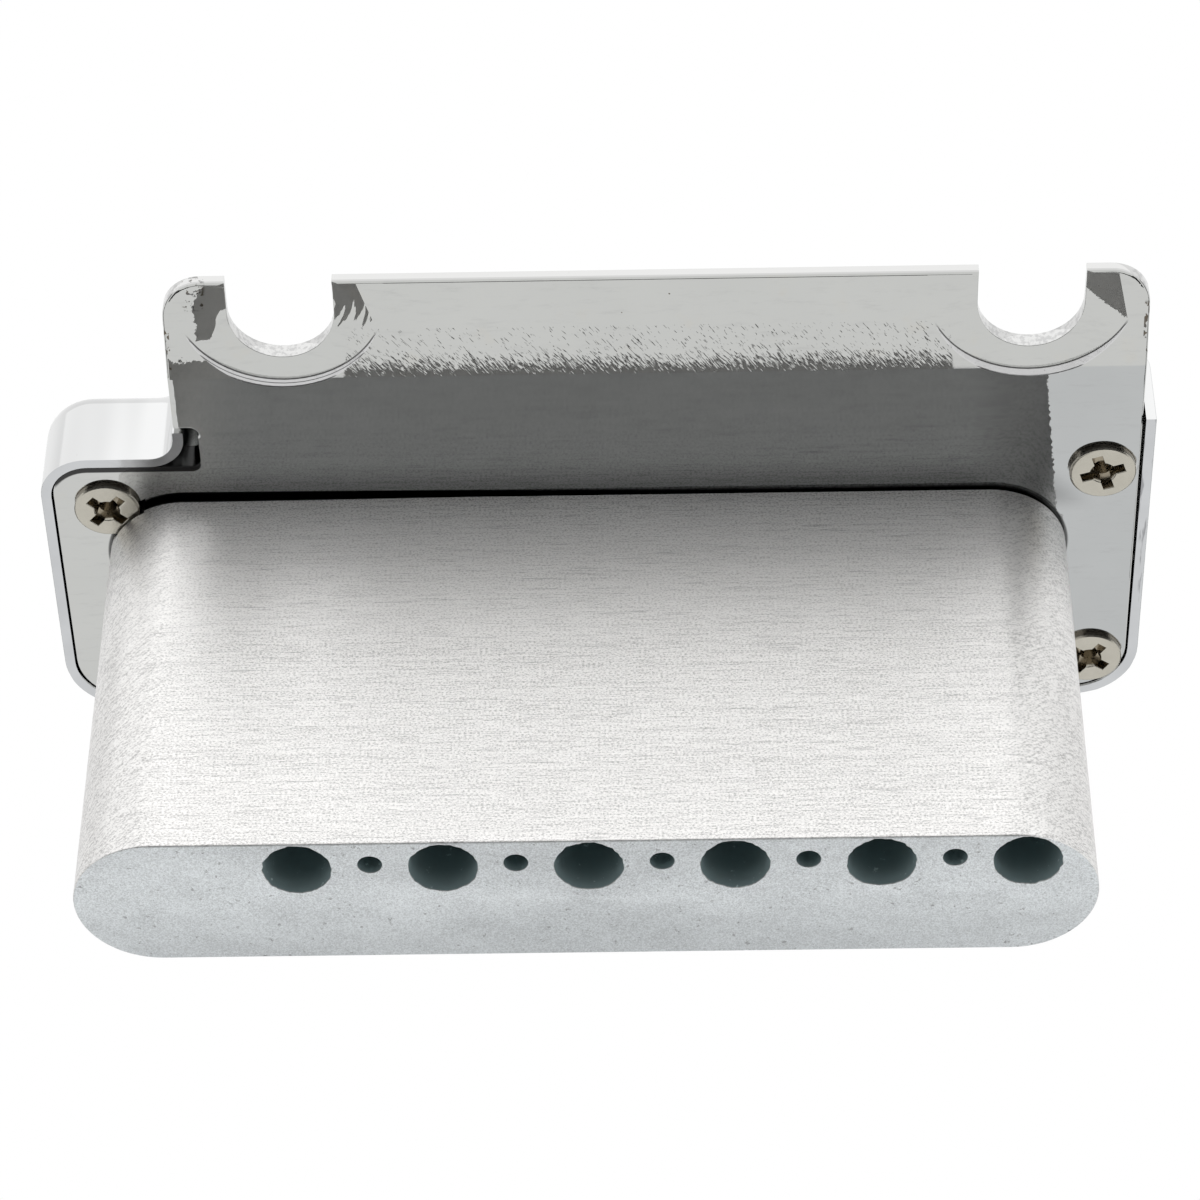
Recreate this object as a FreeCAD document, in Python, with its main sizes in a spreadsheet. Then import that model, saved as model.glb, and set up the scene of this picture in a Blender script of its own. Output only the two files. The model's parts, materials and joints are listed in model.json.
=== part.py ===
"""Tremolo bridge for a six-string guitar, in millimetres.

The origin is the middle of the pivot line, at the level of the base plate's flat underside.
+Z points out of the guitar's face, -Y towards the neck, and -X to the treble side.
"""
import FreeCAD, Part
import Sketcher
import math
import os
import re

SIZES = [
    # base plate
    ("plate_thick", 2.6),
    ("ear_width", 8.8),
    ("nose_reach", 7.0),
    ("crease_back", 1.0),
    ("bevel_angle", 12.0),
    ("wing_step", 9.7),
    ("wing_front", 10.2),
    ("relief_width", 1.8),
    ("relief_front", 6.2),
    ("ear_round", 3.0),
    ("wing_round", 2.8),
    ("rear_round", 4.2),
    ("relief_round", 0.7),
    ("edge_round", 0.4),
    # pivot notches
    ("post_spacing", 56.0),
    ("notch_radius", 4.0),
    ("ring_ahead", 6.0),
    ("ring_radius", 7.85),
    ("ring_step", 0.8),
    ("ring_angle", 15.0),
    # strings
    ("string_pitch", 10.5),
    ("string_row", 15.9),
    ("string_exit", 1.6),
    ("arch_radius", 305.0),
    # sustain block
    ("block_thick", 12.2),
    ("block_drop", 36.2),
    ("treble_margin", 5.5),
    ("bass_margin", 5.25),
    ("block_ease", 0.4),
    ("ball_hole", 2.4),
    ("ball_wall", 0.3),
    ("ball_seat", 4.0),
    ("core_hole", 1.2),
    ("spring_hole", 0.9),
    ("spring_ahead", 0.45),
    ("spring_depth", 9.0),
    # top cover
    ("cover_wall", 0.8),
    ("cover_gap", 0.25),
    ("roof_gap", 0.5),
    ("cover_front", 6.5),
    ("cover_round", 2.5),
    ("cover_hollow", 2.0),
    ("neck_gap", 0.1),
    ("window_gap", 0.65),
    ("window_behind", 0.5),
    ("boss_radius", 2.2),
    ("boss_gap", 0.45),
    ("boss_margin", 2.8),
    ("access_hole", 1.7),
    # fasteners
    ("fit_gap", 0.05),
    ("hole_gap", 0.15),
    ("thread_gap", 0.4),
    ("screw_sink", 0.25),
    ("head_land", 0.2),
    ("head_ease", 0.12),
    ("screw_point", 0.5),
    ("drive_width", 0.8),
    ("drive_depth", 0.7),
    ("pit_radius", 1.0),
    ("pit_point", 0.3),
    ("pit_depth", 1.6),
    ("cover_screw", 1.5),
    ("cover_head", 2.55),
    ("cover_proud", 0.5),
    ("cover_land", 0.6),
    ("cover_relief", 0.3),
    ("cover_drive", 3.4),
    ("cover_screw_long", 5.8),
    ("treble_screw_inset", 4.0),
    ("treble_screw_behind", 3.9),
    ("treble_rear_inset", 8.0),
    ("bass_screw_back", 11.55),
    ("rear_screw_inset", 3.5),
    ("block_screw", 2.0),
    ("block_head", 3.6),
    ("block_drive", 4.2),
    ("block_screw_long", 11.0),
    ("block_screw_inset", 3.8),
    ("rail_screw", 1.0),
    ("rail_head", 1.9),
    ("rail_drive", 1.8),
    ("rail_screw_long", 5.4),
    # arm socket
    ("arm_step", 0.4),
    ("arm_bore", 2.55),
    ("bush_wall", 0.55),
    ("socket_wall", 0.8),
    ("socket_floor", 1.2),
    ("socket_depth", 20.0),
    ("collar_radius", 5.0),
    ("collar_high", 1.5),
    ("collar_gap", 0.2),
    # intonation rail and screws
    ("rail_thick", 2.8),
    ("rail_high", 4.6),
    ("rail_end", 0.15),
    ("turn_screw", 1.25),
    ("turn_head", 2.1),
    ("turn_head_long", 2.0),
    ("head_lift", 0.35),
    ("head_gap", 0.1),
    ("tip_past", 0.3),
    ("turn_slot", 0.6),
    ("turn_slot_deep", 1.0),
    ("run_gap", 0.08),
    ("clip_ring", 0.85),
    ("clip_thick", 0.45),
    ("clip_gap", 0.1),
    ("clip_groove", 0.25),
    # saddles
    ("saddle_gap", 0.3),
    ("saddle_travel", 3.0),
    ("travel_gap", 0.35),
    ("saddle_lift", 0.3),
    ("saddle_deck", 5.2),
    ("brow_high", 5.0),
    ("brow_run", 1.4),
    ("crest_high", 8.0),
    ("crest_ahead", 5.2),
    ("crest_flat", 2.6),
    ("ramp_foot", 0.4),
    ("saddle_round", 0.8),
    ("saddle_ease", 0.4),
    ("slot_width", 3.4),
    ("slot_ahead", 3.2),
    ("slot_behind", 4.3),
    ("groove_width", 1.4),
    ("groove_deep", 0.6),
    ("intonation_step", 0.8),
    # nuts and height screws
    ("nut_width", 5.0),
    ("nut_long", 2.4),
    ("nut_high", 3.2),
    ("nut_back", 7.6),
    ("nut_wall", 1.7),
    ("nut_play", 0.1),
    ("grub_radius", 1.25),
    ("grub_long", 7.0),
    ("grub_point", 0.4),
    ("grub_ease", 0.2),
    ("grub_wall", 0.37),
    ("key_radius", 0.75),
    ("key_deep", 1.6),
    # how far a cutter runs past a face
    ("cut_over", 1.0),
]
STRINGS = range(1, 7)
MIDDLE_STRING = sum(STRINGS) / len(STRINGS)
PLACES = [
    # across the bridge, from its middle
    ("outer_string", f"{STRINGS[-1] - MIDDLE_STRING} * string_pitch"),
    ("saddle_width", "string_pitch - saddle_gap"),
    ("outer_edge", "outer_string + saddle_width / 2"),
    ("grub_side", "saddle_width / 2 - grub_wall - grub_radius - run_gap"),
    ("window_half", "outer_edge + window_gap"),
    ("rail_half", "outer_edge + rail_end"),
    ("bass_screw_side", "outer_edge + boss_gap + boss_radius"),
    ("plate_half", "max(post_spacing / 2 + ear_width; bass_screw_side + boss_margin)"),
    ("neck_reach", "plate_half + neck_gap"),
    ("arm_side", "plate_half + arm_step"),
    ("wing_reach", "plate_half + wing_step"),
    ("treble_screw_side", "wing_reach - treble_screw_inset"),
    ("treble_rear_side", "wing_reach - treble_rear_inset"),
    ("block_treble", "arm_side + treble_margin"),
    ("block_bass", "outer_string + bass_margin"),
    # along the strings, from the pivot line
    ("block_front", "string_row - ball_hole - ball_wall"),
    ("arm_back", "block_front + block_thick / 2"),
    ("spring_row", "string_row - spring_ahead"),
    ("block_screw_back", "block_front + block_thick - block_screw_inset"),
    ("treble_screw_back", "wing_front + treble_screw_behind"),
    ("saddle_ahead", "crest_ahead + crest_flat / 2 + brow_run"),
    ("saddle_behind", "nut_back + nut_long / 2 + nut_play + nut_wall"),
    ("saddle_limit", "string_row + saddle_behind + saddle_travel"),
    ("window_rear", "saddle_limit + window_behind"),
    ("rail_front", "saddle_limit + travel_gap + clip_thick + clip_gap"),
    ("plate_rear", "rail_front + rail_thick + turn_head_long + head_gap"),
    ("rear_screw_back", "plate_rear - rear_screw_inset"),
    ("turn_tip", "string_row + nut_back - saddle_travel - nut_long / 2 - tip_past"),
    # upwards
    ("axis_high", "turn_head + head_lift"),
    ("cover_top", "plate_thick + rail_high + roof_gap + cover_wall"),
    # round pieces
    ("clip_radius", "turn_screw + clip_ring"),
    ("bush_radius", "arm_bore + bush_wall"),
    ("socket_radius", "bush_radius + fit_gap + socket_wall"),
]
SUNK_LAND_END = "screw_sink + head_land"
PROUD_LAND_END = "cover_land - cover_proud"
HALF_TURN = FreeCAD.Rotation(FreeCAD.Vector(1, 0, 0), 180)
UPRIGHT_TO_REAR = FreeCAD.Rotation(FreeCAD.Vector(1, 0, 0), -90)
TOUCH = 1e-4

doc = FreeCAD.newDocument("tremolo_bridge")
sheet = doc.addObject("Spreadsheet::Sheet", "Sizes")
for row, (alias, number) in enumerate(SIZES, start=1):
    sheet.set(f"A{row}", alias)
    sheet.set(f"B{row}", str(number))
    sheet.setAlias(f"B{row}", alias)
doc.recompute()
home = {alias: "Sizes" for alias, _ in SIZES}


def bind(thing, path, text):
    """Tie a property to sizes of the sheet and places worked out from them, written by their names."""
    thing.setExpression(path, re.sub(r"[a-z_]+", lambda word: full_name(word[0]), text))


def full_name(word):
    return f"{home[word]}.{word}" if word in home else word


places = doc.addObject("App::FeaturePython", "Places")
for name, formula in PLACES:
    places.addProperty("App::PropertyFloat", name)
    bind(places, name, formula)
    home[name] = "Places"
doc.recompute()
size = {alias: float(sheet.get(alias)) for alias, _ in SIZES}
size.update({name: getattr(places, name) for name, _ in PLACES})


def place(thing, x="0", y="0", z="0", turn=None):
    thing.Placement = FreeCAD.Placement(FreeCAD.Vector(), turn or FreeCAD.Rotation())
    for axis, text in zip("xyz", (x, y, z)):
        bind(thing, f"Placement.Base.{axis}", text)


# Sketches

def new_body(label):
    body = doc.addObject("PartDesign::Body", label)
    body.Label = label
    return body


def new_sketch(body, role):
    sketch = body.newObject("Sketcher::SketchObject", f"{body.Label}_sketch")
    origin_plane = next(item for item in body.Origin.OriginFeatures if item.Role == role)
    sketch.AttachmentSupport = [(origin_plane, "")]
    sketch.MapMode = "FlatFace"
    return sketch


def pin_point(sketch, geometry, vertex, x, y):
    """Hold a sketch point at a place measured from the sketch's origin."""
    for kind, text in (("DistanceX", x), ("DistanceY", y)):
        index = sketch.addConstraint(Sketcher.Constraint(kind, -1, 1, geometry, vertex, 1.0))
        bind(sketch, f"Constraints[{index}]", text)


def polygon(body, role, points):
    sketch = new_sketch(body, role)
    count = len(points)
    ring = [2 * math.pi * step / count for step in range(count + 1)]
    corners = [FreeCAD.Vector(math.cos(angle), math.sin(angle), 0) for angle in ring]
    for start, end in zip(corners, corners[1:]):
        sketch.addGeometry(Part.LineSegment(start, end), False)
    for side in range(count):
        sketch.addConstraint(Sketcher.Constraint("Coincident", side, 2, (side + 1) % count, 1))
    for side, (x, y) in enumerate(points):
        pin_point(sketch, side, 1, x, y)
    return sketch


def circles(body, spots, radius):
    sketch = new_sketch(body, "XY_Plane")
    for index, (x, y) in enumerate(spots):
        sketch.addGeometry(Part.Circle(FreeCAD.Vector(index, 0, 0), FreeCAD.Vector(0, 0, 1), 1.0), False)
        pin_point(sketch, index, 3, x, y)
        tie = sketch.addConstraint(Sketcher.Constraint("Radius", index, 1.0))
        bind(sketch, f"Constraints[{tie}]", radius)
    return sketch


# Features of a body

def pad(body, sketch, length, both_ways=False):
    feature = body.newObject("PartDesign::Pad", f"{body.Label}_pad")
    feature.Profile = sketch
    if both_ways:
        feature.SideType = "Symmetric"
    bind(feature, "Length", length)
    return feature


def cut_through(body, sketch):
    feature = body.newObject("PartDesign::Pocket", f"{body.Label}_through")
    feature.Profile = sketch
    feature.SideType = "Symmetric"
    feature.Type = "ThroughAll"
    return feature


def cut_across(body, sketch, width):
    feature = body.newObject("PartDesign::Pocket", f"{body.Label}_across")
    feature.Profile = sketch
    feature.SideType = "Symmetric"
    bind(feature, "Length", width)
    return feature


def solid_feature(body, kind, sizes, spot, turn=None):
    """Add or take away a block, cylinder, cone or prism at a place in the body's own frame."""
    feature = body.newObject(f"PartDesign::{kind}", f"{body.Label}_{kind}")
    for name, text in sizes.items():
        bind(feature, name, text)
    place(feature, *spot, turn)
    return feature


def long_round(body, action, ends, radius, low, tall):
    """Add or take away a bar with half-round ends, lying along X or along Y, as its end centres do."""
    (x, y), (far_x, far_y) = ends
    if y == far_y:
        plan, corner = {"Length": f"{far_x} - ({x})", "Width": f"2 * ({radius})"}, (x, f"{y} - ({radius})")
    else:
        plan, corner = {"Length": f"2 * ({radius})", "Width": f"{far_y} - ({y})"}, (f"{x} - ({radius})", y)
    solid_feature(body, f"{action}Box", {**plan, "Height": tall}, (*corner, low))
    for end in ends:
        solid_feature(body, f"{action}Cylinder", {"Radius": radius, "Height": tall}, (*end, low))


def sink_screw(body, spot, head, hole, land_end=SUNK_LAND_END, from_top=False):
    """A countersink of the screw's own right angle, as deep as the end of its head's straight rim asks."""
    mouth = f"{head} + {land_end} + fit_gap"
    sizes = {"Radius1": mouth, "Radius2": hole, "Height": f"{mouth} - ({hole})"}
    solid_feature(body, "SubtractiveCone", sizes, spot, HALF_TURN if from_top else None)


def edges_of(body, wanted):
    doc.recompute()
    return [f"Edge{index}" for index, edge in enumerate(body.Tip.Shape.Edges, start=1) if wanted(edge)]


def soften(body, wanted, radius, kind="Fillet"):
    names = edges_of(body, wanted)
    base = body.Tip
    feature = body.newObject(f"PartDesign::{kind}", f"{body.Label}_{kind}")
    feature.Base = (base, names)
    bind(feature, "Radius" if kind == "Fillet" else "Size", radius)
    return feature


def upright_at(*spots):
    """Picks the upright edges that stand at these places in plan."""
    def wanted(edge):
        ends = [vertex.Point for vertex in edge.Vertexes]
        if len(ends) != 2 or abs(ends[0].z - ends[1].z) < TOUCH:
            return False
        return any(all(math.hypot(end.x - x, end.y - y) < TOUCH for end in ends) for x, y in spots)
    return wanted


def level_at(height, *skipped):
    """Picks the edges that lie at one height, except those along the planes y = skipped."""
    def wanted(edge):
        box = edge.BoundBox
        level = abs(box.ZMin - height) < TOUCH and abs(box.ZMax - height) < TOUCH
        return level and not any(abs(box.YMin - y) < TOUCH and abs(box.YMax - y) < TOUCH for y in skipped)
    return wanted


def turned(label, points):
    """A turned piece: its half section, as radius and height, spun about its upright axis."""
    body = new_body(label)
    sketch = polygon(body, "XZ_Plane", points)
    feature = body.newObject("PartDesign::Revolution", f"{label}_turning")
    feature.Profile = sketch
    feature.ReferenceAxis = (sketch, ["V_Axis"])
    feature.Angle = 360.0
    return body


# Places that several pieces share

def string_side(string):
    return f"({string - MIDDLE_STRING}) * string_pitch"


def arch_rise(string):
    """How much higher a saddle stands than the outer ones, to follow the fingerboard's arch."""
    return f"(({string_side(STRINGS[0])})^2 - ({string_side(string)})^2) / (2 * arch_radius)"


def intonation_shift(string):
    return f"{(string - 1) % 3} * intonation_step"


SCREW_GAPS = (-2, 0, 2)
BLOCK_SCREW_SPOTS = [(f"{gap} * string_pitch", "block_screw_back") for gap in SCREW_GAPS]
RAIL_SCREW_SPOTS = [(f"{gap} * string_pitch", "rail_front + rail_thick / 2") for gap in SCREW_GAPS]
COVER_SCREW_SPOTS = [
    ("-treble_screw_side", "treble_screw_back"),
    ("-treble_rear_side", "rear_screw_back"),
    ("bass_screw_side", "bass_screw_back"),
    ("bass_screw_side", "rear_screw_back"),
]
BLOCK_SCREW_TURNS = (20, 65, 38)
RAIL_SCREW_TURNS = (50, 12, 78)
COVER_SCREW_TURNS = (42, 10, 72, 35)
STRING_SPOTS = [(string_side(string), "string_row") for string in STRINGS]
ARM_SPOT = ("-arm_side", "arm_back")


# Fixed pieces

def base_plate():
    body = new_body("base_plate")
    neck = "-(plate_half - relief_width)"
    corners = [
        ("-plate_half", "-nose_reach"),
        ("plate_half", "-nose_reach"),
        ("plate_half", "plate_rear"),
        ("-wing_reach", "plate_rear"),
        ("-wing_reach", "wing_front"),
        (neck, "wing_front"),
        (neck, "relief_front"),
        ("-plate_half", "relief_front"),
    ]
    pad(body, polygon(body, "XY_Plane", corners), "plate_thick")
    half, nose, wing = size["plate_half"], -size["nose_reach"], -size["wing_reach"]
    front, rear, inner = size["wing_front"], size["plate_rear"], size["relief_width"] - size["plate_half"]
    soften(body, upright_at((half, nose), (-half, nose)), "ear_round")
    soften(body, upright_at((wing, front)), "wing_round")
    soften(body, upright_at((half, rear), (wing, rear)), "rear_round")
    soften(body, upright_at((inner, front), (inner, size["relief_front"])), "relief_round")

    tip = "-(nose_reach + cut_over)"
    rise = "(crease_back + nose_reach + cut_over) * tan(bevel_angle * 1deg)"
    cut_through(body, polygon(body, "YZ_Plane", [("crease_back", "0"), (tip, rise), (tip, "0")]))
    soften(body, lower_side_edge, "edge_round")
    for side in (-1, 1):
        pivot_notch(body, side)

    cut_through(body, circles(body, STRING_SPOTS, "string_exit"))
    cut_through(body, circles(body, [ARM_SPOT], "socket_radius + hole_gap"))
    cut_through(body, circles(body, BLOCK_SCREW_SPOTS, "block_screw + hole_gap"))
    cut_through(body, circles(body, COVER_SCREW_SPOTS, "cover_screw + hole_gap"))
    cut_through(body, circles(body, RAIL_SCREW_SPOTS, "rail_screw + hole_gap"))
    for x, y in BLOCK_SCREW_SPOTS:
        sink_screw(body, (x, y, "plate_thick"), "block_head", "block_screw + hole_gap", from_top=True)
    for x, y in COVER_SCREW_SPOTS:
        sink_screw(body, (x, y, "0"), "cover_head", "cover_screw + hole_gap", PROUD_LAND_END)
    for x, y in RAIL_SCREW_SPOTS:
        sink_screw(body, (x, y, "0"), "rail_head", "rail_screw + hole_gap")


def lower_side_edge(edge):
    """Picks the underside's edges along the plate's two straight sides, at the ears and behind them."""
    box = edge.BoundBox
    along = box.YMax - box.YMin > TOUCH and box.XMax - box.XMin < TOUCH
    at_side = abs(abs(box.XMin) - size["plate_half"]) < TOUCH
    bevel_rise = (size["crease_back"] + size["nose_reach"]) * math.tan(math.radians(size["bevel_angle"]))
    return along and at_side and box.ZMax < bevel_rise


def pivot_notch(body, side):
    """An open notch for a post, with a shallow cone under it that thins the plate to an edge."""
    x = f"{side} * post_spacing / 2"
    cone_high = "(ring_radius - notch_radius) * tan(ring_angle * 1deg)"
    recess = {"Radius": "ring_radius", "Height": "ring_step + cut_over"}
    solid_feature(body, "SubtractiveCylinder", recess, (x, "-ring_ahead", "-cut_over"))
    cone = {"Radius1": "ring_radius", "Radius2": "notch_radius", "Height": cone_high}
    solid_feature(body, "SubtractiveCone", cone, (x, "-ring_ahead", "ring_step"))
    post = {"Radius": "notch_radius", "Height": "plate_thick + 2 * cut_over"}
    solid_feature(body, "SubtractiveCylinder", post, (x, "-notch_radius", "-cut_over"))
    mouth = {
        "Length": "2 * notch_radius",
        "Width": "nose_reach + cut_over - notch_radius",
        "Height": "plate_thick + 2 * cut_over",
    }
    corner = (f"{x} - notch_radius", "-(nose_reach + cut_over)", "-cut_over")
    solid_feature(body, "SubtractiveBox", mouth, corner)


def sustain_block():
    body = new_body("sustain_block")
    middle = "block_front + block_thick / 2"
    ends = [("-(block_treble - block_thick / 2)", middle), ("block_bass - block_thick / 2", middle)]
    long_round(body, "Additive", ends, "block_thick / 2", "-block_drop", "block_drop")
    soften(body, level_at(0.0), "block_ease", "Chamfer")
    cut_through(body, circles(body, STRING_SPOTS, "core_hole"))
    for x, y in STRING_SPOTS:
        bore = {"Radius": "ball_hole", "Height": "block_drop - ball_seat + cut_over"}
        solid_feature(body, "SubtractiveCylinder", bore, (x, y, "-(block_drop + cut_over)"))
    for gap in range(-2, 3):
        bore = {"Radius": "spring_hole", "Height": "spring_depth + cut_over"}
        spot = (f"{gap} * string_pitch", "spring_row", "-(block_drop + cut_over)")
        solid_feature(body, "SubtractiveCylinder", bore, spot)
    for x, y in BLOCK_SCREW_SPOTS:
        depth = "screw_sink + block_screw_long + thread_gap - plate_thick"
        thread = {"Radius": "block_screw + fit_gap", "Height": f"{depth} + cut_over"}
        solid_feature(body, "SubtractiveCylinder", thread, (x, y, f"-({depth})"))
    relief = {"Radius": "cover_head + cover_relief", "Height": "cover_proud + cover_relief + cut_over"}
    solid_feature(body, "SubtractiveCylinder", relief, (*COVER_SCREW_SPOTS[0], "-(cover_proud + cover_relief)"))
    seat = {"Radius": "socket_radius + fit_gap", "Height": "socket_depth + fit_gap + cut_over"}
    solid_feature(body, "SubtractiveCylinder", seat, (*ARM_SPOT, "-(socket_depth + fit_gap)"))


def top_cover():
    body = new_body("top_cover")
    reach = "(cover_gap + cover_wall)"
    corners = [
        ("-neck_reach", "cover_front"),
        (f"plate_half + {reach}", "cover_front"),
        (f"plate_half + {reach}", f"plate_rear + {reach}"),
        (f"-(wing_reach + {reach})", f"plate_rear + {reach}"),
        (f"-(wing_reach + {reach})", f"wing_front - {reach}"),
        ("-neck_reach", f"wing_front - {reach}"),
    ]
    pad(body, polygon(body, "XY_Plane", corners), "cover_top")
    out = size["cover_gap"] + size["cover_wall"]
    right, left = size["plate_half"] + out, -size["wing_reach"] - out
    rear, wing = size["plate_rear"] + out, size["wing_front"] - out
    soften(body, upright_at((right, rear), (left, rear)), f"rear_round + {reach}")
    soften(body, upright_at((left, wing)), f"wing_round + {reach}")
    soften(body, upright_at((-size["neck_reach"], wing)), "cover_hollow")
    soften(body, level_at(size["cover_top"], size["cover_front"]), "cover_round")
    hollow_out(body)

    window = {
        "Length": "2 * window_half",
        "Width": "window_rear - cover_front + cut_over",
        "Height": "cover_top",
    }
    solid_feature(body, "SubtractiveBox", window, ("-window_half", "cover_front - cut_over", "plate_thick"))
    for x, y in COVER_SCREW_SPOTS:
        boss = {"Radius": "boss_radius", "Height": "cover_top - cover_wall / 2 - plate_thick"}
        solid_feature(body, "AdditiveCylinder", boss, (x, y, "plate_thick"))
        thread = {"Radius": "cover_screw + fit_gap", "Height": "screw_sink + cover_screw_long + thread_gap"}
        solid_feature(body, "SubtractiveCylinder", thread, (x, y, "0"))
    arm_hole = {"Radius": "socket_radius + hole_gap", "Height": "2 * cover_wall + cut_over"}
    solid_feature(body, "SubtractiveCylinder", arm_hole, (*ARM_SPOT, "cover_top - 2 * cover_wall"))
    for string in STRINGS:
        access = {"Radius": "access_hole", "Height": "2 * cover_wall + cut_over"}
        spot = (string_side(string), "plate_rear", "plate_thick + axis_high")
        solid_feature(body, "SubtractiveCylinder", access, spot, UPRIGHT_TO_REAR)


def hollow_out(body):
    """Shell the cover, open below and towards the neck."""
    doc.recompute()
    base = body.Tip
    open_faces = []
    for index, face in enumerate(base.Shape.Faces, start=1):
        box = face.BoundBox
        underside = abs(box.ZMax) < TOUCH
        neck_end = abs(box.YMin - size["cover_front"]) < TOUCH and abs(box.YMax - box.YMin) < TOUCH
        if underside or neck_end:
            open_faces.append(f"Face{index}")
    shell = body.newObject("PartDesign::Thickness", "top_cover_shell")
    shell.Base = (base, open_faces)
    shell.Reversed = True
    shell.Join = "Intersection"
    bind(shell, "Value", "cover_wall")


def flat_screw(label, radius, head, drive, length, face="screw_sink", land_end=SUNK_LAND_END):
    """A countersunk cross-head screw, head down and tip up, standing on the face that it is sunk in."""
    tip = f"screw_sink + {length}"
    section = [
        ("0", face),
        (f"{head} - head_ease", face),
        (head, f"{face} + head_ease"),
        (head, land_end),
        (radius, f"{land_end} + {head} - {radius}"),
        (radius, f"{tip} - screw_point"),
        (f"{radius} - screw_point", tip),
        ("0", tip),
    ]
    body = turned(label, section)
    for width, depth in ((drive, "drive_width"), ("drive_width", drive)):
        slot = {"Length": width, "Width": depth, "Height": "drive_depth + cut_over"}
        spot = (f"-{width} / 2", f"-{depth} / 2", f"{face} - cut_over")
        solid_feature(body, "SubtractiveBox", slot, spot)
    pit = {"Radius1": "pit_radius", "Radius2": "pit_point", "Height": "pit_depth"}
    solid_feature(body, "SubtractiveCone", pit, ("0", "0", face))
    return body


def screw_group(label, spots, turns, sizes, height="0", flip=False):
    members = []
    for index, ((x, y), turn) in enumerate(zip(spots, turns), start=1):
        screw = flat_screw(f"{label}_{index}", *sizes)
        spin = FreeCAD.Rotation(FreeCAD.Vector(0, 0, 1), turn)
        place(screw, x, y, height, HALF_TURN * spin if flip else spin)
        members.append(screw)
    group = doc.addObject("Part::Compound", label)
    group.Label = label
    group.Links = members


def intonation_rail():
    """A bar across the plate that carries the six intonation screws."""
    body = new_body("intonation_rail")
    corners = [
        ("-rail_half", "rail_front"),
        ("rail_half", "rail_front"),
        ("rail_half", "rail_front + rail_thick"),
        ("-rail_half", "rail_front + rail_thick"),
    ]
    pad(body, polygon(body, "XY_Plane", corners), "rail_high")
    for string in STRINGS:
        bore = {"Radius": "turn_screw + run_gap", "Height": "rail_thick + 2 * cut_over"}
        spot = (string_side(string), "rail_front - cut_over", "axis_high")
        solid_feature(body, "SubtractiveCylinder", bore, spot, UPRIGHT_TO_REAR)
    for x, y in RAIL_SCREW_SPOTS:
        thread = {"Radius": "rail_screw + fit_gap", "Height": "screw_sink + rail_screw_long + thread_gap"}
        solid_feature(body, "SubtractiveCylinder", thread, (x, y, "-plate_thick"))
    soften(body, level_at(size["rail_high"]), "edge_round")
    place(body, z="plate_thick")


def arm_socket():
    inside = "bush_radius + fit_gap"
    foot = "-socket_depth"
    ledge = "cover_top + collar_gap"
    top = f"{ledge} + collar_high"
    section = [
        ("0", foot),
        ("socket_radius", foot),
        ("socket_radius", ledge),
        ("collar_radius", ledge),
        ("collar_radius", f"{top} - edge_round"),
        ("collar_radius - edge_round", top),
        (inside, top),
        (inside, f"{foot} + socket_floor"),
        ("0", f"{foot} + socket_floor"),
    ]
    place(turned("arm_socket", section), *ARM_SPOT)


def arm_bush():
    foot = "-socket_depth + socket_floor"
    top = "cover_top + collar_gap + collar_high"
    section = [("arm_bore", foot), ("bush_radius", foot), ("bush_radius", top), ("arm_bore", top)]
    place(turned("arm_bush", section), *ARM_SPOT)


# Pieces of one string

def saddle(string):
    """A one-piece saddle, in its own frame: the string's middle, the string row and the plate's top."""
    body = new_body(f"saddle_{string}")
    brow = "-saddle_ahead"
    crest_front = "-(crest_ahead + crest_flat / 2)"
    crest_rear = "-(crest_ahead - crest_flat / 2)"
    outline = [
        (brow, "saddle_lift"),
        (brow, "brow_high"),
        (crest_front, "crest_high"),
        (crest_rear, "crest_high"),
        ("ramp_foot", "saddle_deck"),
        ("saddle_behind", "saddle_deck"),
        ("saddle_behind", "saddle_lift"),
    ]
    pad(body, polygon(body, "YZ_Plane", outline), "saddle_width", both_ways=True)
    soften(body, saddle_ridge, "saddle_round")
    soften(body, saddle_flank, "saddle_ease")

    slot_ends = [("0", "-(slot_ahead - slot_width / 2)"), ("0", "slot_behind - slot_width / 2")]
    long_round(body, "Subtractive", slot_ends, "slot_width / 2", "-cut_over", "crest_high + 2 * cut_over")
    groove_floor = "crest_high - groove_deep"
    groove = [
        ("-slot_ahead + cut_over", "saddle_deck - cut_over"),
        (crest_rear, groove_floor),
        ("-(saddle_ahead + cut_over)", groove_floor),
        ("-(saddle_ahead + cut_over)", "crest_high + cut_over"),
        ("-slot_ahead + cut_over", "crest_high + cut_over"),
    ]
    cut_across(body, polygon(body, "YZ_Plane", groove), "groove_width")
    for side in (-1, 1):
        thread = {"Radius": "grub_radius + run_gap", "Height": "crest_high + 2 * cut_over"}
        spot = (f"{side} * grub_side", "-crest_ahead", "-cut_over")
        solid_feature(body, "SubtractiveCylinder", thread, spot)

    lane = "(turn_screw + 2 * nut_play)"
    passage = {
        "Length": f"2 * {lane}",
        "Width": "saddle_behind",
        "Height": f"axis_high + {lane} + cut_over",
    }
    solid_feature(body, "SubtractiveBox", passage, (f"-{lane}", "slot_behind / 2", "-cut_over"))
    pocket = {
        "Length": "nut_width + 2 * nut_play",
        "Width": "nut_long + 2 * nut_play",
        "Height": "axis_high + nut_high / 2 + nut_play + cut_over",
    }
    spot = ("-(nut_width / 2 + nut_play)", "nut_back - nut_long / 2 - nut_play", "-cut_over")
    solid_feature(body, "SubtractiveBox", pocket, spot)
    place(
        body,
        string_side(string),
        f"string_row + {intonation_shift(string)}",
        f"plate_thick + {arch_rise(string)}",
    )


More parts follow.
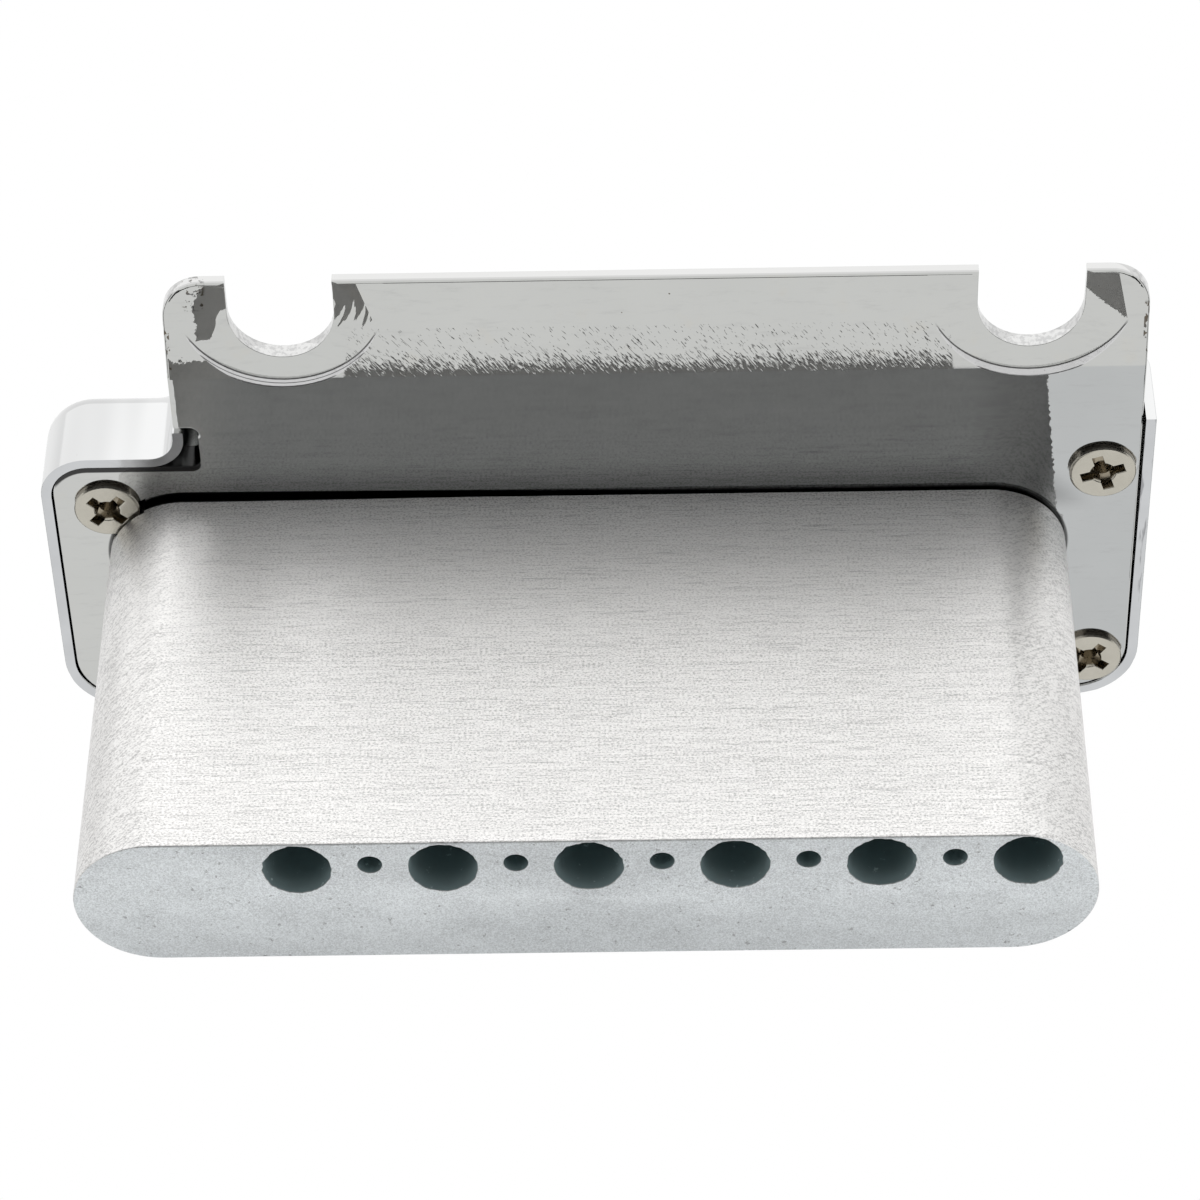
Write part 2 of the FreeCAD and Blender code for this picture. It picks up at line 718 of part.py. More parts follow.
def saddle_ridge(edge):
    """Picks the saddle's upper edges that run across it."""
    box = edge.BoundBox
    across = box.XMax - box.XMin > size["saddle_width"] - TOUCH and box.YMax - box.YMin < TOUCH
    return across and box.ZMin > size["saddle_lift"] + TOUCH


def saddle_flank(edge):
    """Picks the saddle's edges along its two sides, apart from those of its underside."""
    box = edge.BoundBox
    at_side = abs(abs(box.XMin) - size["saddle_width"] / 2) < TOUCH and box.XMax - box.XMin < TOUCH
    return at_side and box.ZMax > size["saddle_lift"] + TOUCH


def height_screws(string):
    """The two socket grub screws that a saddle stands on."""
    section = [
        ("0", "0"),
        ("grub_radius - grub_point", "0"),
        ("grub_radius", "grub_point"),
        ("grub_radius", "grub_long - grub_ease"),
        ("grub_radius - grub_ease", "grub_long"),
        ("0", "grub_long"),
    ]
    members = []
    for side in (-1, 1):
        screw = turned(f"height_screw_{string}_{'treble' if side < 0 else 'bass'}", section)
        key = {"Circumradius": "key_radius", "Height": "key_deep + cut_over"}
        solid_feature(screw, "SubtractivePrism", key, ("0", "0", "grub_long - key_deep"))
        place(
            screw,
            f"{string_side(string)} + {side} * grub_side",
            f"string_row - crest_ahead + {intonation_shift(string)}",
            "plate_thick",
        )
        members.append(screw)
    pair = doc.addObject("Part::Compound", f"height_screws_{string}")
    pair.Label = f"height_screws_{string}"
    pair.Links = members


def intonation_nut(string):
    body = new_body(f"intonation_nut_{string}")
    block = {"Length": "nut_width", "Width": "nut_long", "Height": "nut_high"}
    solid_feature(body, "AdditiveBox", block, ("-nut_width / 2", "-nut_long / 2", "-nut_high / 2"))
    thread = {"Radius": "turn_screw + run_gap", "Height": "nut_long + 2 * cut_over"}
    spot = ("0", "-(nut_long / 2 + cut_over)", "0")
    solid_feature(body, "SubtractiveCylinder", thread, spot, UPRIGHT_TO_REAR)
    place(
        body,
        string_side(string),
        f"string_row + nut_back + {intonation_shift(string)}",
        "plate_thick + axis_high",
    )


def intonation_screw(string):
    """A slotted screw along Y, drawn upright: height in its section is the distance from the pivot line."""
    tip = "turn_tip"
    seat = "rail_front + rail_thick"
    back = f"{seat} + turn_head_long"
    groove_rear = "rail_front - clip_gap / 2"
    groove_front = f"{groove_rear} - clip_thick - clip_gap"
    section = [
        ("0", tip),
        ("turn_screw - edge_round", tip),
        ("turn_screw", f"{tip} + edge_round"),
        ("turn_screw", groove_front),
        ("turn_screw - clip_groove", groove_front),
        ("turn_screw - clip_groove", groove_rear),
        ("turn_screw", groove_rear),
        ("turn_screw", seat),
        ("turn_head", seat),
        ("turn_head", f"{back} - edge_round"),
        ("turn_head - edge_round", back),
        ("0", back),
    ]
    body = turned(f"intonation_screw_{string}", section)
    slot = {
        "Length": "2 * (turn_head + cut_over)",
        "Width": "turn_slot",
        "Height": "turn_slot_deep + cut_over",
    }
    spot = ("-(turn_head + cut_over)", "-turn_slot / 2", f"{back} - turn_slot_deep")
    solid_feature(body, "SubtractiveBox", slot, spot)
    place(body, string_side(string), "0", "plate_thick + axis_high", UPRIGHT_TO_REAR)


def screw_clip(string):
    """An open spring clip in the screw's groove, just ahead of the rail."""
    inside = "turn_screw - clip_groove + fit_gap"
    rear = "rail_front - clip_gap"
    section = [
        (inside, f"{rear} - clip_thick"),
        ("clip_radius", f"{rear} - clip_thick"),
        ("clip_radius", rear),
        (inside, rear),
    ]
    body = turned(f"screw_clip_{string}", section)
    mouth = {
        "Length": f"2 * ({inside})",
        "Width": "clip_radius + cut_over",
        "Height": "clip_thick + 2 * cut_over",
    }
    solid_feature(body, "SubtractiveBox", mouth, (f"-({inside})", "0", f"{rear} - clip_thick - cut_over"))
    place(body, string_side(string), "0", "plate_thick + axis_high", UPRIGHT_TO_REAR)


base_plate()
sustain_block()
top_cover()
cover_sizes = (
    "cover_screw",
    "cover_head",
    "cover_drive",
    "cover_screw_long",
    "-cover_proud",
    PROUD_LAND_END,
)
screw_group("cover_screws", COVER_SCREW_SPOTS, COVER_SCREW_TURNS, cover_sizes)
block_sizes = ("block_screw", "block_head", "block_drive", "block_screw_long")
screw_group("block_screws", BLOCK_SCREW_SPOTS, BLOCK_SCREW_TURNS, block_sizes, "plate_thick", flip=True)
intonation_rail()
rail_sizes = ("rail_screw", "rail_head", "rail_drive", "rail_screw_long")
screw_group("rail_screws", RAIL_SCREW_SPOTS, RAIL_SCREW_TURNS, rail_sizes)
arm_socket()
arm_bush()
for string_number in STRINGS:
    saddle(string_number)
    height_screws(string_number)
    intonation_nut(string_number)
    intonation_screw(string_number)
    screw_clip(string_number)
doc.recompute()

# Every object is sound, and every cut takes something away
for thing in doc.Objects:
    if "Invalid" in thing.State or "Error" in thing.State:
        raise RuntimeError(f"{thing.Label} failed: {thing.State}")
    cuts = "Subtractive" in thing.TypeId or thing.TypeId == "PartDesign::Pocket"
    if cuts and thing.Shape.Volume > thing.BaseFeature.Shape.Volume - TOUCH:
        raise RuntimeError(f"{thing.Label} cuts nothing")

grouped = [member for thing in doc.Objects if thing.TypeId == "Part::Compound" for member in thing.Links]
whole = [thing for thing in doc.Objects if thing.TypeId in ("PartDesign::Body", "Part::Compound")]
pieces = [thing for thing in whole if thing not in grouped]
os.makedirs("parts", exist_ok=True)
for piece in pieces:
    if piece.Shape.isNull() or not piece.Shape.isValid():
        raise RuntimeError(f"{piece.Label} has no sound shape")
    piece.Shape.exportStep(os.path.join("parts", f"{piece.Label}.step"))
    print(f"{piece.Label}: {len(piece.Shape.Solids)} solids, {piece.Shape.Volume:.1f} mm3")
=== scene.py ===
"""Studio scene of a guitar tremolo bridge, seen from below as it is photographed.

Places in the comments and named values are millimetres of the part's own frame, and turns are degrees,
unless they say otherwise.
"""
import json
import math
import bmesh
import bpy
from mathutils import Matrix, Vector, noise


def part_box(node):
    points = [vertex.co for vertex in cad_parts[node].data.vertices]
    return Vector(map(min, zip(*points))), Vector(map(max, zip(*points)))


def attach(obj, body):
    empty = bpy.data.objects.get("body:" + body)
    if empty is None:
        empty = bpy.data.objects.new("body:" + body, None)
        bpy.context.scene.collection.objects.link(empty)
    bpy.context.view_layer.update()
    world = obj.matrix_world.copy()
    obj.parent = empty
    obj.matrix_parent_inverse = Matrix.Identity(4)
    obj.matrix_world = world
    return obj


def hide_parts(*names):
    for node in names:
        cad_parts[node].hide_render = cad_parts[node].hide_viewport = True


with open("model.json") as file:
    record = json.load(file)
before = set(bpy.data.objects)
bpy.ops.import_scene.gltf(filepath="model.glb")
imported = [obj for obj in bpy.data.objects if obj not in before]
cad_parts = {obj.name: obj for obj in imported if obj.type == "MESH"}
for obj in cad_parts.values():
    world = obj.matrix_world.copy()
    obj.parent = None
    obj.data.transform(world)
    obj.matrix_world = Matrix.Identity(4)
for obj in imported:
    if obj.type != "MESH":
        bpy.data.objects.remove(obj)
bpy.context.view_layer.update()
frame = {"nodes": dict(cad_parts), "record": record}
MM = 0.001

# Sizes that the finishes and added pieces follow, read from the frame where it states them
MOUNTS = {mount["name"]: mount for mount in frame["record"]["mounts"]}


def mount_place(name):
    """Where a mount of the record is, in millimetres."""
    return [value / MM for value in MOUNTS[name]["pos_m"]]


STRINGS = range(1, 7)
STRING_ROW = mount_place("string_hole_1")[1]
STRING_PITCH = mount_place("string_hole_2")[0] - mount_place("string_hole_1")[0]
BALL_HOLE = MOUNTS["string_hole_1"]["dims"]["r_mm"]
SPRING_ROW = mount_place("spring_hole_1")[1]
SPRING_HOLE = MOUNTS["spring_hole_1"]["dims"]["r_mm"]
POST_SIDE = mount_place("pivot_notch_bass")[0]
NOTCH_RADIUS = 4.0
RING_CENTRE = -6.0
RING_RADIUS = 7.85
CREASE = 1.0
BEVEL_TURN = 12.0
PLATE_LOW, PLATE_HIGH = (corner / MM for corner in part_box("base_plate"))
BLOCK_LOW, BLOCK_HIGH = (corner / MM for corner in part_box("sustain_block"))
PLATE_HALF = PLATE_HIGH.x
SCREW_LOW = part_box("cover_screws")[0] / MM
SCREW_SPOTS = ((-42.5, 14.1), (-38.5, 31.8), (34.0, 11.55), (34.0, 31.8))
SCREW_HEAD = 2.55
RECESS_REACH = 1.9

# Places and turns of the marks that the photo shows on the plate
HATCH_SIDES = (-22.6, 21.4)
HATCH_FRONT = -3.0
HATCH_SLANT = 131.0
EAR_PATCH_SIDE = -31.3
EAR_STRIP_END = 7.6
RELIEF_SIDES = (-36.7, -33.6)
RELIEF_ENDS = (6.6, 10.0)
WING_SEAM_START = -34.5
NOSE_TILT = 58.0


class Finish:
    """One procedural material, whose nodes measure in millimetres of the part's frame."""

    def __init__(self, name, metallic=1.0, **constants):
        self.material = bpy.data.materials.new(name)
        self.material.use_nodes = True
        self.tree = self.material.node_tree
        self.surface = self.tree.nodes["Principled BSDF"]
        self.surface.inputs["Metallic"].default_value = metallic
        for socket, value in constants.items():
            self.surface.inputs[socket.replace("_", " ")].default_value = value
        coordinates = self.node("ShaderNodeTexCoord")
        self.place = self.stretched(coordinates.outputs["Object"], (1 / MM, 1 / MM, 1 / MM))
        axes = self.node("ShaderNodeSeparateXYZ", {0: self.place})
        self.x, self.y, self.z = axes.outputs
        facing = self.node("ShaderNodeSeparateXYZ", {0: coordinates.outputs["Normal"]})
        self.face_x, self.face_y, self.face_z = facing.outputs

    def node(self, kind, inputs=(), **settings):
        """Adds a node; inputs are links or plain values by socket, settings are the node's own options."""
        made = self.tree.nodes.new(kind)
        for name, value in settings.items():
            setattr(made, name, value)
        for socket, value in dict(inputs).items():
            self.feed(made.inputs[socket], value)
        return made

    def feed(self, socket, value):
        if isinstance(value, bpy.types.NodeSocket):
            self.tree.links.new(value, socket)
        else:
            socket.default_value = value

    def stretched(self, vector, factors):
        made = self.node("ShaderNodeVectorMath", {0: vector, 1: factors}, operation="MULTIPLY")
        return made.outputs[0]

    def turned(self, vector, degrees, axis="Z_AXIS"):
        made = self.node(
            "ShaderNodeVectorRotate",
            {"Vector": vector, "Angle": math.radians(degrees)},
            rotation_type=axis,
        )
        return made.outputs[0]

    def calc(self, operation, *values):
        return self.node("ShaderNodeMath", enumerate(values), operation=operation).outputs[0]

    def product(self, first, *others):
        for other in others:
            first = self.calc("MULTIPLY", first, other)
        return first

    def largest(self, first, *others):
        for other in others:
            first = self.calc("MAXIMUM", first, other)
        return first

    def fade(self, value, start, end):
        """0 up to start and 1 from end on, smooth between; start may be the larger."""
        made = self.node(
            "ShaderNodeMapRange",
            {"Value": value, "From Min": start, "From Max": end},
            interpolation_type="SMOOTHSTEP",
        )
        return made.outputs["Result"]

    def span(self, value, low, high, soft):
        """1 between low and high, fading out over soft on both sides."""
        return self.product(self.fade(value, low - soft, low), self.fade(value, high + soft, high))

    def ramp(self, value, start, end, low, high):
        """Runs straight from low at start to high at end, and stays level past both."""
        ends = {"From Min": start, "From Max": end, "To Min": low, "To Max": high}
        return self.node("ShaderNodeMapRange", {"Value": value, **ends}).outputs["Result"]

    def level(self, value, low, high):
        """Stretches a share of 0 to 1 to the range low to high."""
        return self.ramp(value, 0.0, 1.0, low, high)

    def noise(self, scale, stretch=(1, 1, 1), detail=3.0, rough=0.55, seed=0.0, vector=None):
        spot = self.stretched(vector or self.place, stretch)
        made = self.node(
            "ShaderNodeTexNoise",
            {"Vector": spot, "W": seed, "Scale": scale, "Detail": detail, "Roughness": rough},
            noise_dimensions="4D",
        )
        return made.outputs["Fac"]

    def distance(self, x, y):
        """Length of the flat step x, y."""
        return self.calc("SQRT", self.calc("ADD", self.product(x, x), self.product(y, y)))

    def mixed(self, share, low, high):
        """A plain value between low and high."""
        return self.node("ShaderNodeMix", {0: share, 2: low, 3: high}).outputs[0]

    def steered(self, normal, share, tilt, lean=0.0):
        """Turns a downward face's normal to a tilt towards the neck and a lean to the bass, in degrees."""
        aim = Vector((math.tan(math.radians(lean)), -math.tan(math.radians(tilt)), -1.0)).normalized()
        mix = self.node("ShaderNodeMix", {0: share, 4: normal, 5: aim}, data_type="VECTOR")
        return self.node("ShaderNodeVectorMath", {0: mix.outputs[1]}, operation="NORMALIZE").outputs[0]

    def blend(self, share, low, high):
        """A colour between low and high."""
        made = self.node("ShaderNodeMix", {0: share, 6: low, 7: high}, data_type="RGBA")
        return made.outputs[2]

    def relief(self, height, depth):
        """Fine unevenness of a surface, depth millimetres for a height of 1."""
        inputs = {"Height": height, "Distance": depth * MM, "Strength": 1.0}
        return self.node("ShaderNodeBump", inputs).outputs[0]

    def finish(self, colour, roughness, normal=None):
        self.feed(self.surface.inputs["Base Color"], colour)
        self.feed(self.surface.inputs["Roughness"], roughness)
        if normal:
            self.feed(self.surface.inputs["Normal"], normal)
        return self.material


def grey(value, red=1.0, green=1.0, blue=1.0):
    """A grey, tinted by the factors for red, green and blue."""
    return (value * red, value * green, value * blue, 1.0)


# Finishes

def plate_chrome():
    """Polished plating with marks of use, painted reflection and painted shade: hatched strokes at the
    crease, worn rings at the notches.
    """
    coat = Finish("plate_chrome")
    ring = ring_marks(coat)
    hatch_zone, strokes, ear_patch = hatch_marks(coat)
    painted_dark_side, light_side = bass_boundary(coat)

    colour = notch_walls(coat, plate_tone(coat))
    # Painted light: the step round each recess gets a lighter colour.
    colour = coat.blend(ring["step"], colour, grey(0.62))
    brown = coat.fade(coat.noise(1.4, seed=4.0), 0.40, 0.7)
    dirt = coat.blend(brown, grey(0.12), grey(0.10, red=1.3, blue=0.65))
    colour = coat.blend(coat.largest(edge_marks(coat), ring["rust"]), colour, dirt)
    # Painted shade: dark lines along the edges of the step.
    colour = coat.blend(coat.product(ring["lines"], 0.85), colour, grey(0.06))
    # Painted shade in the relief and on the seam beside it, broken by painted glints.
    colour = coat.blend(relief_painted_shade(coat), colour, grey(0.05))
    # Painted shade where the plate meets the block.
    colour = coat.blend(coat.product(block_shade(coat), 0.85), colour, grey(0.03))
    # Painted reflection: the slanting strokes along the crease are painted darker.
    colour = coat.blend(coat.product(strokes, 0.5), colour, grey(0.34))
    # Painted reflection: the dark side of the line past the block's bass end is painted darker.
    colour = coat.blend(painted_dark_side, colour, grey(0.34, red=0.975))

    streaks = coat.noise(1.0, (0.05, 3.0, 0.3), detail=4, seed=1.0)
    height = coat.calc("ADD", coat.product(streaks, 0.6), coat.product(coat.noise(14.0, detail=2), 0.15))
    normal = coat.relief(height, 0.003)
    flat_face = coat.fade(coat.face_z, -0.80, -0.90)
    rolled_edge = coat.product(coat.fade(coat.face_z, -0.15, -0.35), coat.fade(coat.y, 6.5, 7.5))
    dull = coat.largest(ring["worn"], strokes, ear_patch)
    turns = (
        (coat.product(rolled_edge, 0.85), 0.0, 0.0),
        (nose_roll(coat), NOSE_TILT, 0.0),
        (ear_strip(coat), 0.0, -24.0),
        (ring["step"], BEVEL_TURN, 0.0),
        (coat.product(ring["face"], flat_face), BEVEL_TURN + 1.0, 0.0),
        (coat.product(hatch_zone, flat_face), BEVEL_TURN + 4.0, 0.0),
        (coat.product(dull, flat_face), 2.0, 0.0),
        (coat.product(ring["worn_bass"], flat_face), 2.0, -15.0),
        (coat.product(painted_dark_side, flat_face), 0.0, -10.0),
        (coat.product(light_side, flat_face), 0.0, 6.0),
    )
    for share, tilt, lean in turns:
        normal = coat.steered(normal, share, tilt, lean)
    return coat.finish(colour, coat.level(streaks, 0.03, 0.09), normal)


def plate_tone(coat):
    """Cloudy plating, with a painted reflection that makes it darker behind the crease and most of all in
    front of the block.
    """
    cloud = coat.noise(0.12, detail=4)
    colour = coat.blend(cloud, grey(0.53, red=0.99, blue=0.975), grey(0.58, red=0.99, blue=0.97))
    warm = coat.fade(coat.noise(0.35, seed=3.0), 0.58, 0.75)
    colour = coat.blend(coat.product(warm, 0.35), colour, grey(0.54, red=1.04, blue=0.9))
    # Painted reflection: the flat behind the crease is painted darker, and darker still in front of the
    # block.
    behind_crease = coat.product(coat.fade(coat.y, CREASE - 0.1, CREASE + 0.1), coat.fade(coat.z, 0.2, 0.1))
    painted_reflection_flat = coat.product(behind_crease, coat.fade(coat.x, -38.0, -30.0))
    colour = coat.blend(painted_reflection_flat, colour, coat.blend(cloud, grey(0.45, red=0.975), grey(0.52, red=0.975)))
    deeper_painted_reflection = coat.product(painted_reflection_flat, coat.fade(coat.x, 30.0, 27.0), 0.5)
    colour = coat.blend(deeper_painted_reflection, colour, grey(0.41, red=0.965))
    smear = coat.noise(1.0, (0.35, 1.6, 1.0), detail=5, rough=0.7, seed=8.0)
    return coat.blend(coat.product(coat.fade(smear, 0.5, 0.8), 0.30), colour, grey(0.36))


def notch_walls(coat, colour):
    """Paints light on the upright faces towards the neck, making them lighter, and mottles the walls of the
    notches.
    """
    wall = coat.fade(coat.calc("ABSOLUTE", coat.face_z), 0.6, 0.4)
    # Painted light: upright faces that face the front get a lighter colour.
    painted_light_front = coat.product(wall, coat.fade(coat.face_y, -0.1, -0.4))
    colour = coat.blend(painted_light_front, colour, grey(0.68, blue=0.99))
    mottle = coat.fade(coat.noise(2.6, detail=4, seed=20.0), 0.56, 0.40)
    in_notch = coat.product(
        wall,
        coat.fade(coat.y, PLATE_LOW.y + 0.3, PLATE_LOW.y + 0.6),
        coat.fade(coat.y, 0.2, 0.0),
    )
    return coat.blend(coat.product(in_notch, mottle, 0.6), colour, grey(0.44))


# Each layer: stretch of its strokes, where they thin out, height needed there and at the crease, seed
HATCH_LAYERS = (
    ((1.6, 13.0, 1.0), -0.9, 0.66, 0.34, 0.0),
    ((2.2, 9.0, 1.0), -1.5, 0.74, 0.56, 22.0),
)


def hatch_marks(coat):
    """Slanting strokes of painted reflection along the crease: their zone, their strokes, and the dull patch
    on the ear.
    """
    slanted = coat.turned(coat.place, HATCH_SLANT)
    wander = coat.level(coat.noise(0.45, detail=3, seed=6.0), -0.05, 0.05)
    cut = 0.0
    for stretch, thin, at_front, at_crease, seed in HATCH_LAYERS:
        strokes = coat.noise(1.0, stretch, detail=1, rough=0.4, vector=slanted, seed=seed)
        needed = coat.ramp(coat.y, thin, CREASE, at_front, at_crease)
        excess = coat.calc("SUBTRACT", coat.calc("ADD", strokes, wander), needed)
        cut = coat.largest(coat.fade(excess, 0.0, 0.01), cut)
    zone = coat.product(
        coat.span(coat.x, *HATCH_SIDES, 1.0),
        coat.span(coat.y, HATCH_FRONT, CREASE + 0.02, 0.02),
        coat.fade(coat.z, 1.3, 1.1),
    )
    ragged = coat.noise(1.6, detail=4, rough=0.7, seed=16.0)
    ear = coat.product(
        coat.fade(coat.x, EAR_PATCH_SIDE, EAR_PATCH_SIDE - 0.3),
        coat.span(coat.y, -1.6, CREASE + 0.02, 0.02),
        coat.fade(coat.calc("ADD", coat.y, coat.level(ragged, -1.6, 1.6)), -0.65, -0.55),
        coat.fade(coat.z, 0.70, 0.66),
    )
    return zone, coat.product(zone, cut), ear


def bass_boundary(coat):
    """The two sides of the ragged line past the block's bass end, where the plate turns bright; the dark
    side carries a painted reflection.
    """
    ragged = coat.level(coat.noise(2.2, detail=4, rough=0.7, seed=17.0), -0.45, 0.45)
    slope, at_pivot_line = 0.095, 29.15
    line = coat.calc("ADD", coat.calc("MULTIPLY_ADD", coat.y, slope, at_pivot_line), ragged)
    past = coat.calc("SUBTRACT", coat.x, line)
    flat = coat.product(
        coat.fade(coat.z, 0.1, 0.05),
        coat.span(coat.y, CREASE + 0.1, BLOCK_LOW.y + 3.0, 0.1),
        coat.fade(block_distance(coat), 0.1, 0.3),
    )
    painted_dark_side = coat.product(flat, coat.fade(coat.x, 23.0, 27.5), coat.fade(past, 0.03, -0.03))
    light_side = coat.product(flat, coat.fade(coat.x, 34.0, 32.0), coat.fade(past, -0.03, 0.03))
    return painted_dark_side, light_side


def ring_marks(coat):
    """The recess round each notch: its face, its step of painted light and its lines of painted shade, and
    the worn places at its tips.
    """
    from_post = coat.calc("SUBTRACT", coat.calc("ABSOLUTE", coat.x), POST_SIDE)
    along = coat.calc("SUBTRACT", coat.y, RING_CENTRE)
    reach = coat.distance(from_post, along)
    treble = coat.calc("LESS_THAN", coat.x, 0.0)
    step, lines = ring_step(coat, reach, treble)
    ragged = coat.level(coat.noise(1.6, detail=5, rough=0.7, seed=7.0), -0.75, 0.75)
    treble_worn = treble_patch(coat, from_post, treble, ragged)
    return {
        "face": coat.product(
            coat.fade(reach, RING_RADIUS + 0.02, RING_RADIUS - 0.02),
            coat.fade(coat.z, 0.70, 0.74),
        ),
        "step": step,
        "lines": lines,
        "worn": coat.largest(treble_worn, claw_patch(coat, from_post, along, reach, treble)),
        "worn_bass": bass_patch(coat, from_post, treble, ragged),
        "rust": rust_spot(coat, from_post, treble),
    }


def ring_step(coat, reach, treble):
    """The step round the recess with its torn lower edge, lightened as painted light, and the lines of
    painted shade that follow it.
    """
    on_wall = coat.span(reach, RING_RADIUS - 0.05, RING_RADIUS + 0.05, 0.02)
    step = coat.product(on_wall, coat.span(coat.z, 0.06, 0.74, 0.02))
    inner_line = coat.product(
        coat.span(reach, RING_RADIUS - 0.08, RING_RADIUS + 0.02, 0.02),
        coat.span(coat.z, 0.75, 0.86, 0.02),
    )
    outer_line = coat.product(
        coat.span(reach, RING_RADIUS - 0.02, RING_RADIUS + 0.06, 0.02),
        coat.span(coat.z, -0.1, 0.03, 0.02),
    )
    middle_line = coat.product(treble, on_wall, coat.span(coat.z, 0.36, 0.43, 0.02))
    lower_arc = coat.fade(coat.calc("ADD", coat.y, coat.noise(0.5, seed=2.0)), -2.4, -1.4)
    torn = coat.level(coat.noise(2.4, detail=4, rough=0.7, seed=23.0), -0.35, 0.45)
    fringe = coat.product(
        coat.fade(coat.calc("SUBTRACT", reach, torn), RING_RADIUS + 0.03, RING_RADIUS),
        coat.fade(reach, RING_RADIUS - 0.02, RING_RADIUS),
        coat.fade(coat.z, 0.06, 0.04),
        lower_arc,
    )
    lines = coat.product(lower_arc, coat.largest(inner_line, outer_line, middle_line))
    return coat.largest(step, fringe), lines


def treble_patch(coat, from_post, treble, ragged):
    """The dull patch on the outer tip of the treble ring."""
    back = coat.calc("ADD", coat.y, ragged)
    side = coat.calc("ADD", from_post, ragged)
    rear_limit = coat.level(coat.fade(from_post, 4.4, 5.4), -4.5, -2.1)
    side_limit = coat.ramp(coat.y, -7.0, -5.3, 5.5, 6.35)
    return coat.product(
        treble,
        coat.calc("GREATER_THAN", from_post, NOTCH_RADIUS - 0.4),
        coat.fade(coat.calc("SUBTRACT", back, rear_limit), 0.06, 0.0),
        coat.fade(coat.calc("SUBTRACT", side, side_limit), 0.06, 0.0),
    )


def bass_patch(coat, from_post, treble, ragged):
    """The dull patch on the outer tip of the bass ring."""
    back = coat.calc("ADD", coat.y, coat.product(ragged, 0.9))
    past_notch = coat.calc("SUBTRACT", from_post, NOTCH_RADIUS)
    rear_limit = coat.calc("ADD", coat.product(past_notch, 0.74), -5.3)
    side_limit = coat.calc("MULTIPLY_ADD", coat.y, 0.2, 7.7)
    return coat.product(
        coat.calc("SUBTRACT", 1.0, treble),
        coat.calc("GREATER_THAN", from_post, NOTCH_RADIUS - 0.4),
        coat.fade(coat.calc("SUBTRACT", back, rear_limit), 0.06, 0.0),
        coat.fade(coat.calc("SUBTRACT", from_post, side_limit), 0.06, 0.0),
    )


def claw_patch(coat, from_post, along, reach, treble):
    """Dull claws that sweep round the inner tip of the treble ring."""
    turn = coat.calc("ARCTAN2", along, from_post)
    polar = coat.node("ShaderNodeCombineXYZ", {0: reach, 1: turn, 2: coat.x}).outputs[0]
    arcs = coat.noise(1.0, (2.6, 1.3, 0.02), detail=3, vector=polar, seed=2.0)
    inner_side = coat.product(from_post, -1.0)
    towards_nose = coat.fade(coat.y, -2.2, -6.6)
    side_limit = coat.calc("MULTIPLY_ADD", coat.y, 0.36, 8.2)
    return coat.product(
        treble,
        coat.calc("GREATER_THAN", inner_side, NOTCH_RADIUS - 0.4),
        coat.fade(coat.calc("ADD", arcs, coat.product(towards_nose, 0.34)), 0.62, 0.65),
        coat.fade(towards_nose, 0.0, 0.05),
        coat.fade(coat.calc("SUBTRACT", inner_side, side_limit), 0.1, 0.0),
    )


def rust_spot(coat, from_post, treble):
    """Brown specks on the outer tip of the treble ring."""
    return coat.product(
        treble,
        coat.span(from_post, 5.7, 6.9, 0.4),
        coat.span(coat.y, -6.8, -5.0, 0.4),
        coat.fade(coat.noise(2.4, detail=3, seed=11.0), 0.56, 0.62),
    )


def edge_marks(coat):
    """Small dark specks, thicker along the outer edges of the two ears."""
    specks = coat.fade(coat.noise(2.6, detail=2, seed=5.0), 0.76, 0.80)
    along_edge = coat.product(
        coat.span(coat.calc("ABSOLUTE", coat.x), PLATE_HALF - 0.40, PLATE_HALF - 0.05, 0.05),
        coat.span(coat.y, -4.2, 0.4, 0.3),
        coat.fade(coat.noise(1.6, (1, 1, 2.5), seed=9.0), 0.54, 0.58),
    )
    return coat.product(coat.largest(specks, along_edge), coat.fade(coat.face_z, 0.3, 0.0))


def nose_roll(coat):
    """The rolled lower edge of the nose, but for the fine line where it meets the bevel."""
    uneven = coat.level(coat.noise(0.6, detail=3, seed=18.0), -0.04, 0.04)
    steep = coat.fade(coat.calc("ADD", coat.face_y, uneven), -0.59, -0.63)
    at_nose = coat.fade(coat.y, PLATE_LOW.y + 0.6, PLATE_LOW.y + 0.5)
    return coat.product(steep, at_nose, coat.fade(coat.face_z, -0.12, -0.2))


def ear_strip(coat):
    """The softly worn outer edge of the treble ear, from the crease to the relief."""
    uneven = coat.level(coat.noise(1.2, detail=3, seed=21.0), -0.12, 0.12)
    beside = coat.calc("ADD", coat.x, uneven)
    at_edge = coat.fade(beside, 0.46 - PLATE_HALF, 0.40 - PLATE_HALF)
    return coat.product(at_edge, coat.span(coat.y, CREASE, EAR_STRIP_END, 0.1))


def relief_painted_shade(coat):
    """Painted shade on the walls in the relief between the treble ear and the wing, broken by painted
    glints, and on the seam beside it.
    """
    walls = coat.product(
        coat.span(coat.x, *RELIEF_SIDES, 0.1),
        coat.span(coat.y, *RELIEF_ENDS, 0.1),
        coat.fade(coat.calc("ABSOLUTE", coat.face_z), 0.6, 0.4),
    )
    # Where the painted shade falls; its gaps are the painted glints.
    shade_between_glints = coat.fade(coat.noise(1.3, detail=3, seed=19.0), 0.70, 0.60)
    wing_seam = coat.product(
        coat.fade(coat.x, WING_SEAM_START, WING_SEAM_START - 0.3),
        coat.fade(coat.y, RELIEF_ENDS[0], RELIEF_ENDS[0] + 0.4),
        coat.fade(coat.face_y, -0.2, -0.4),
    )
    return coat.largest(coat.product(walls, shade_between_glints), wing_seam)


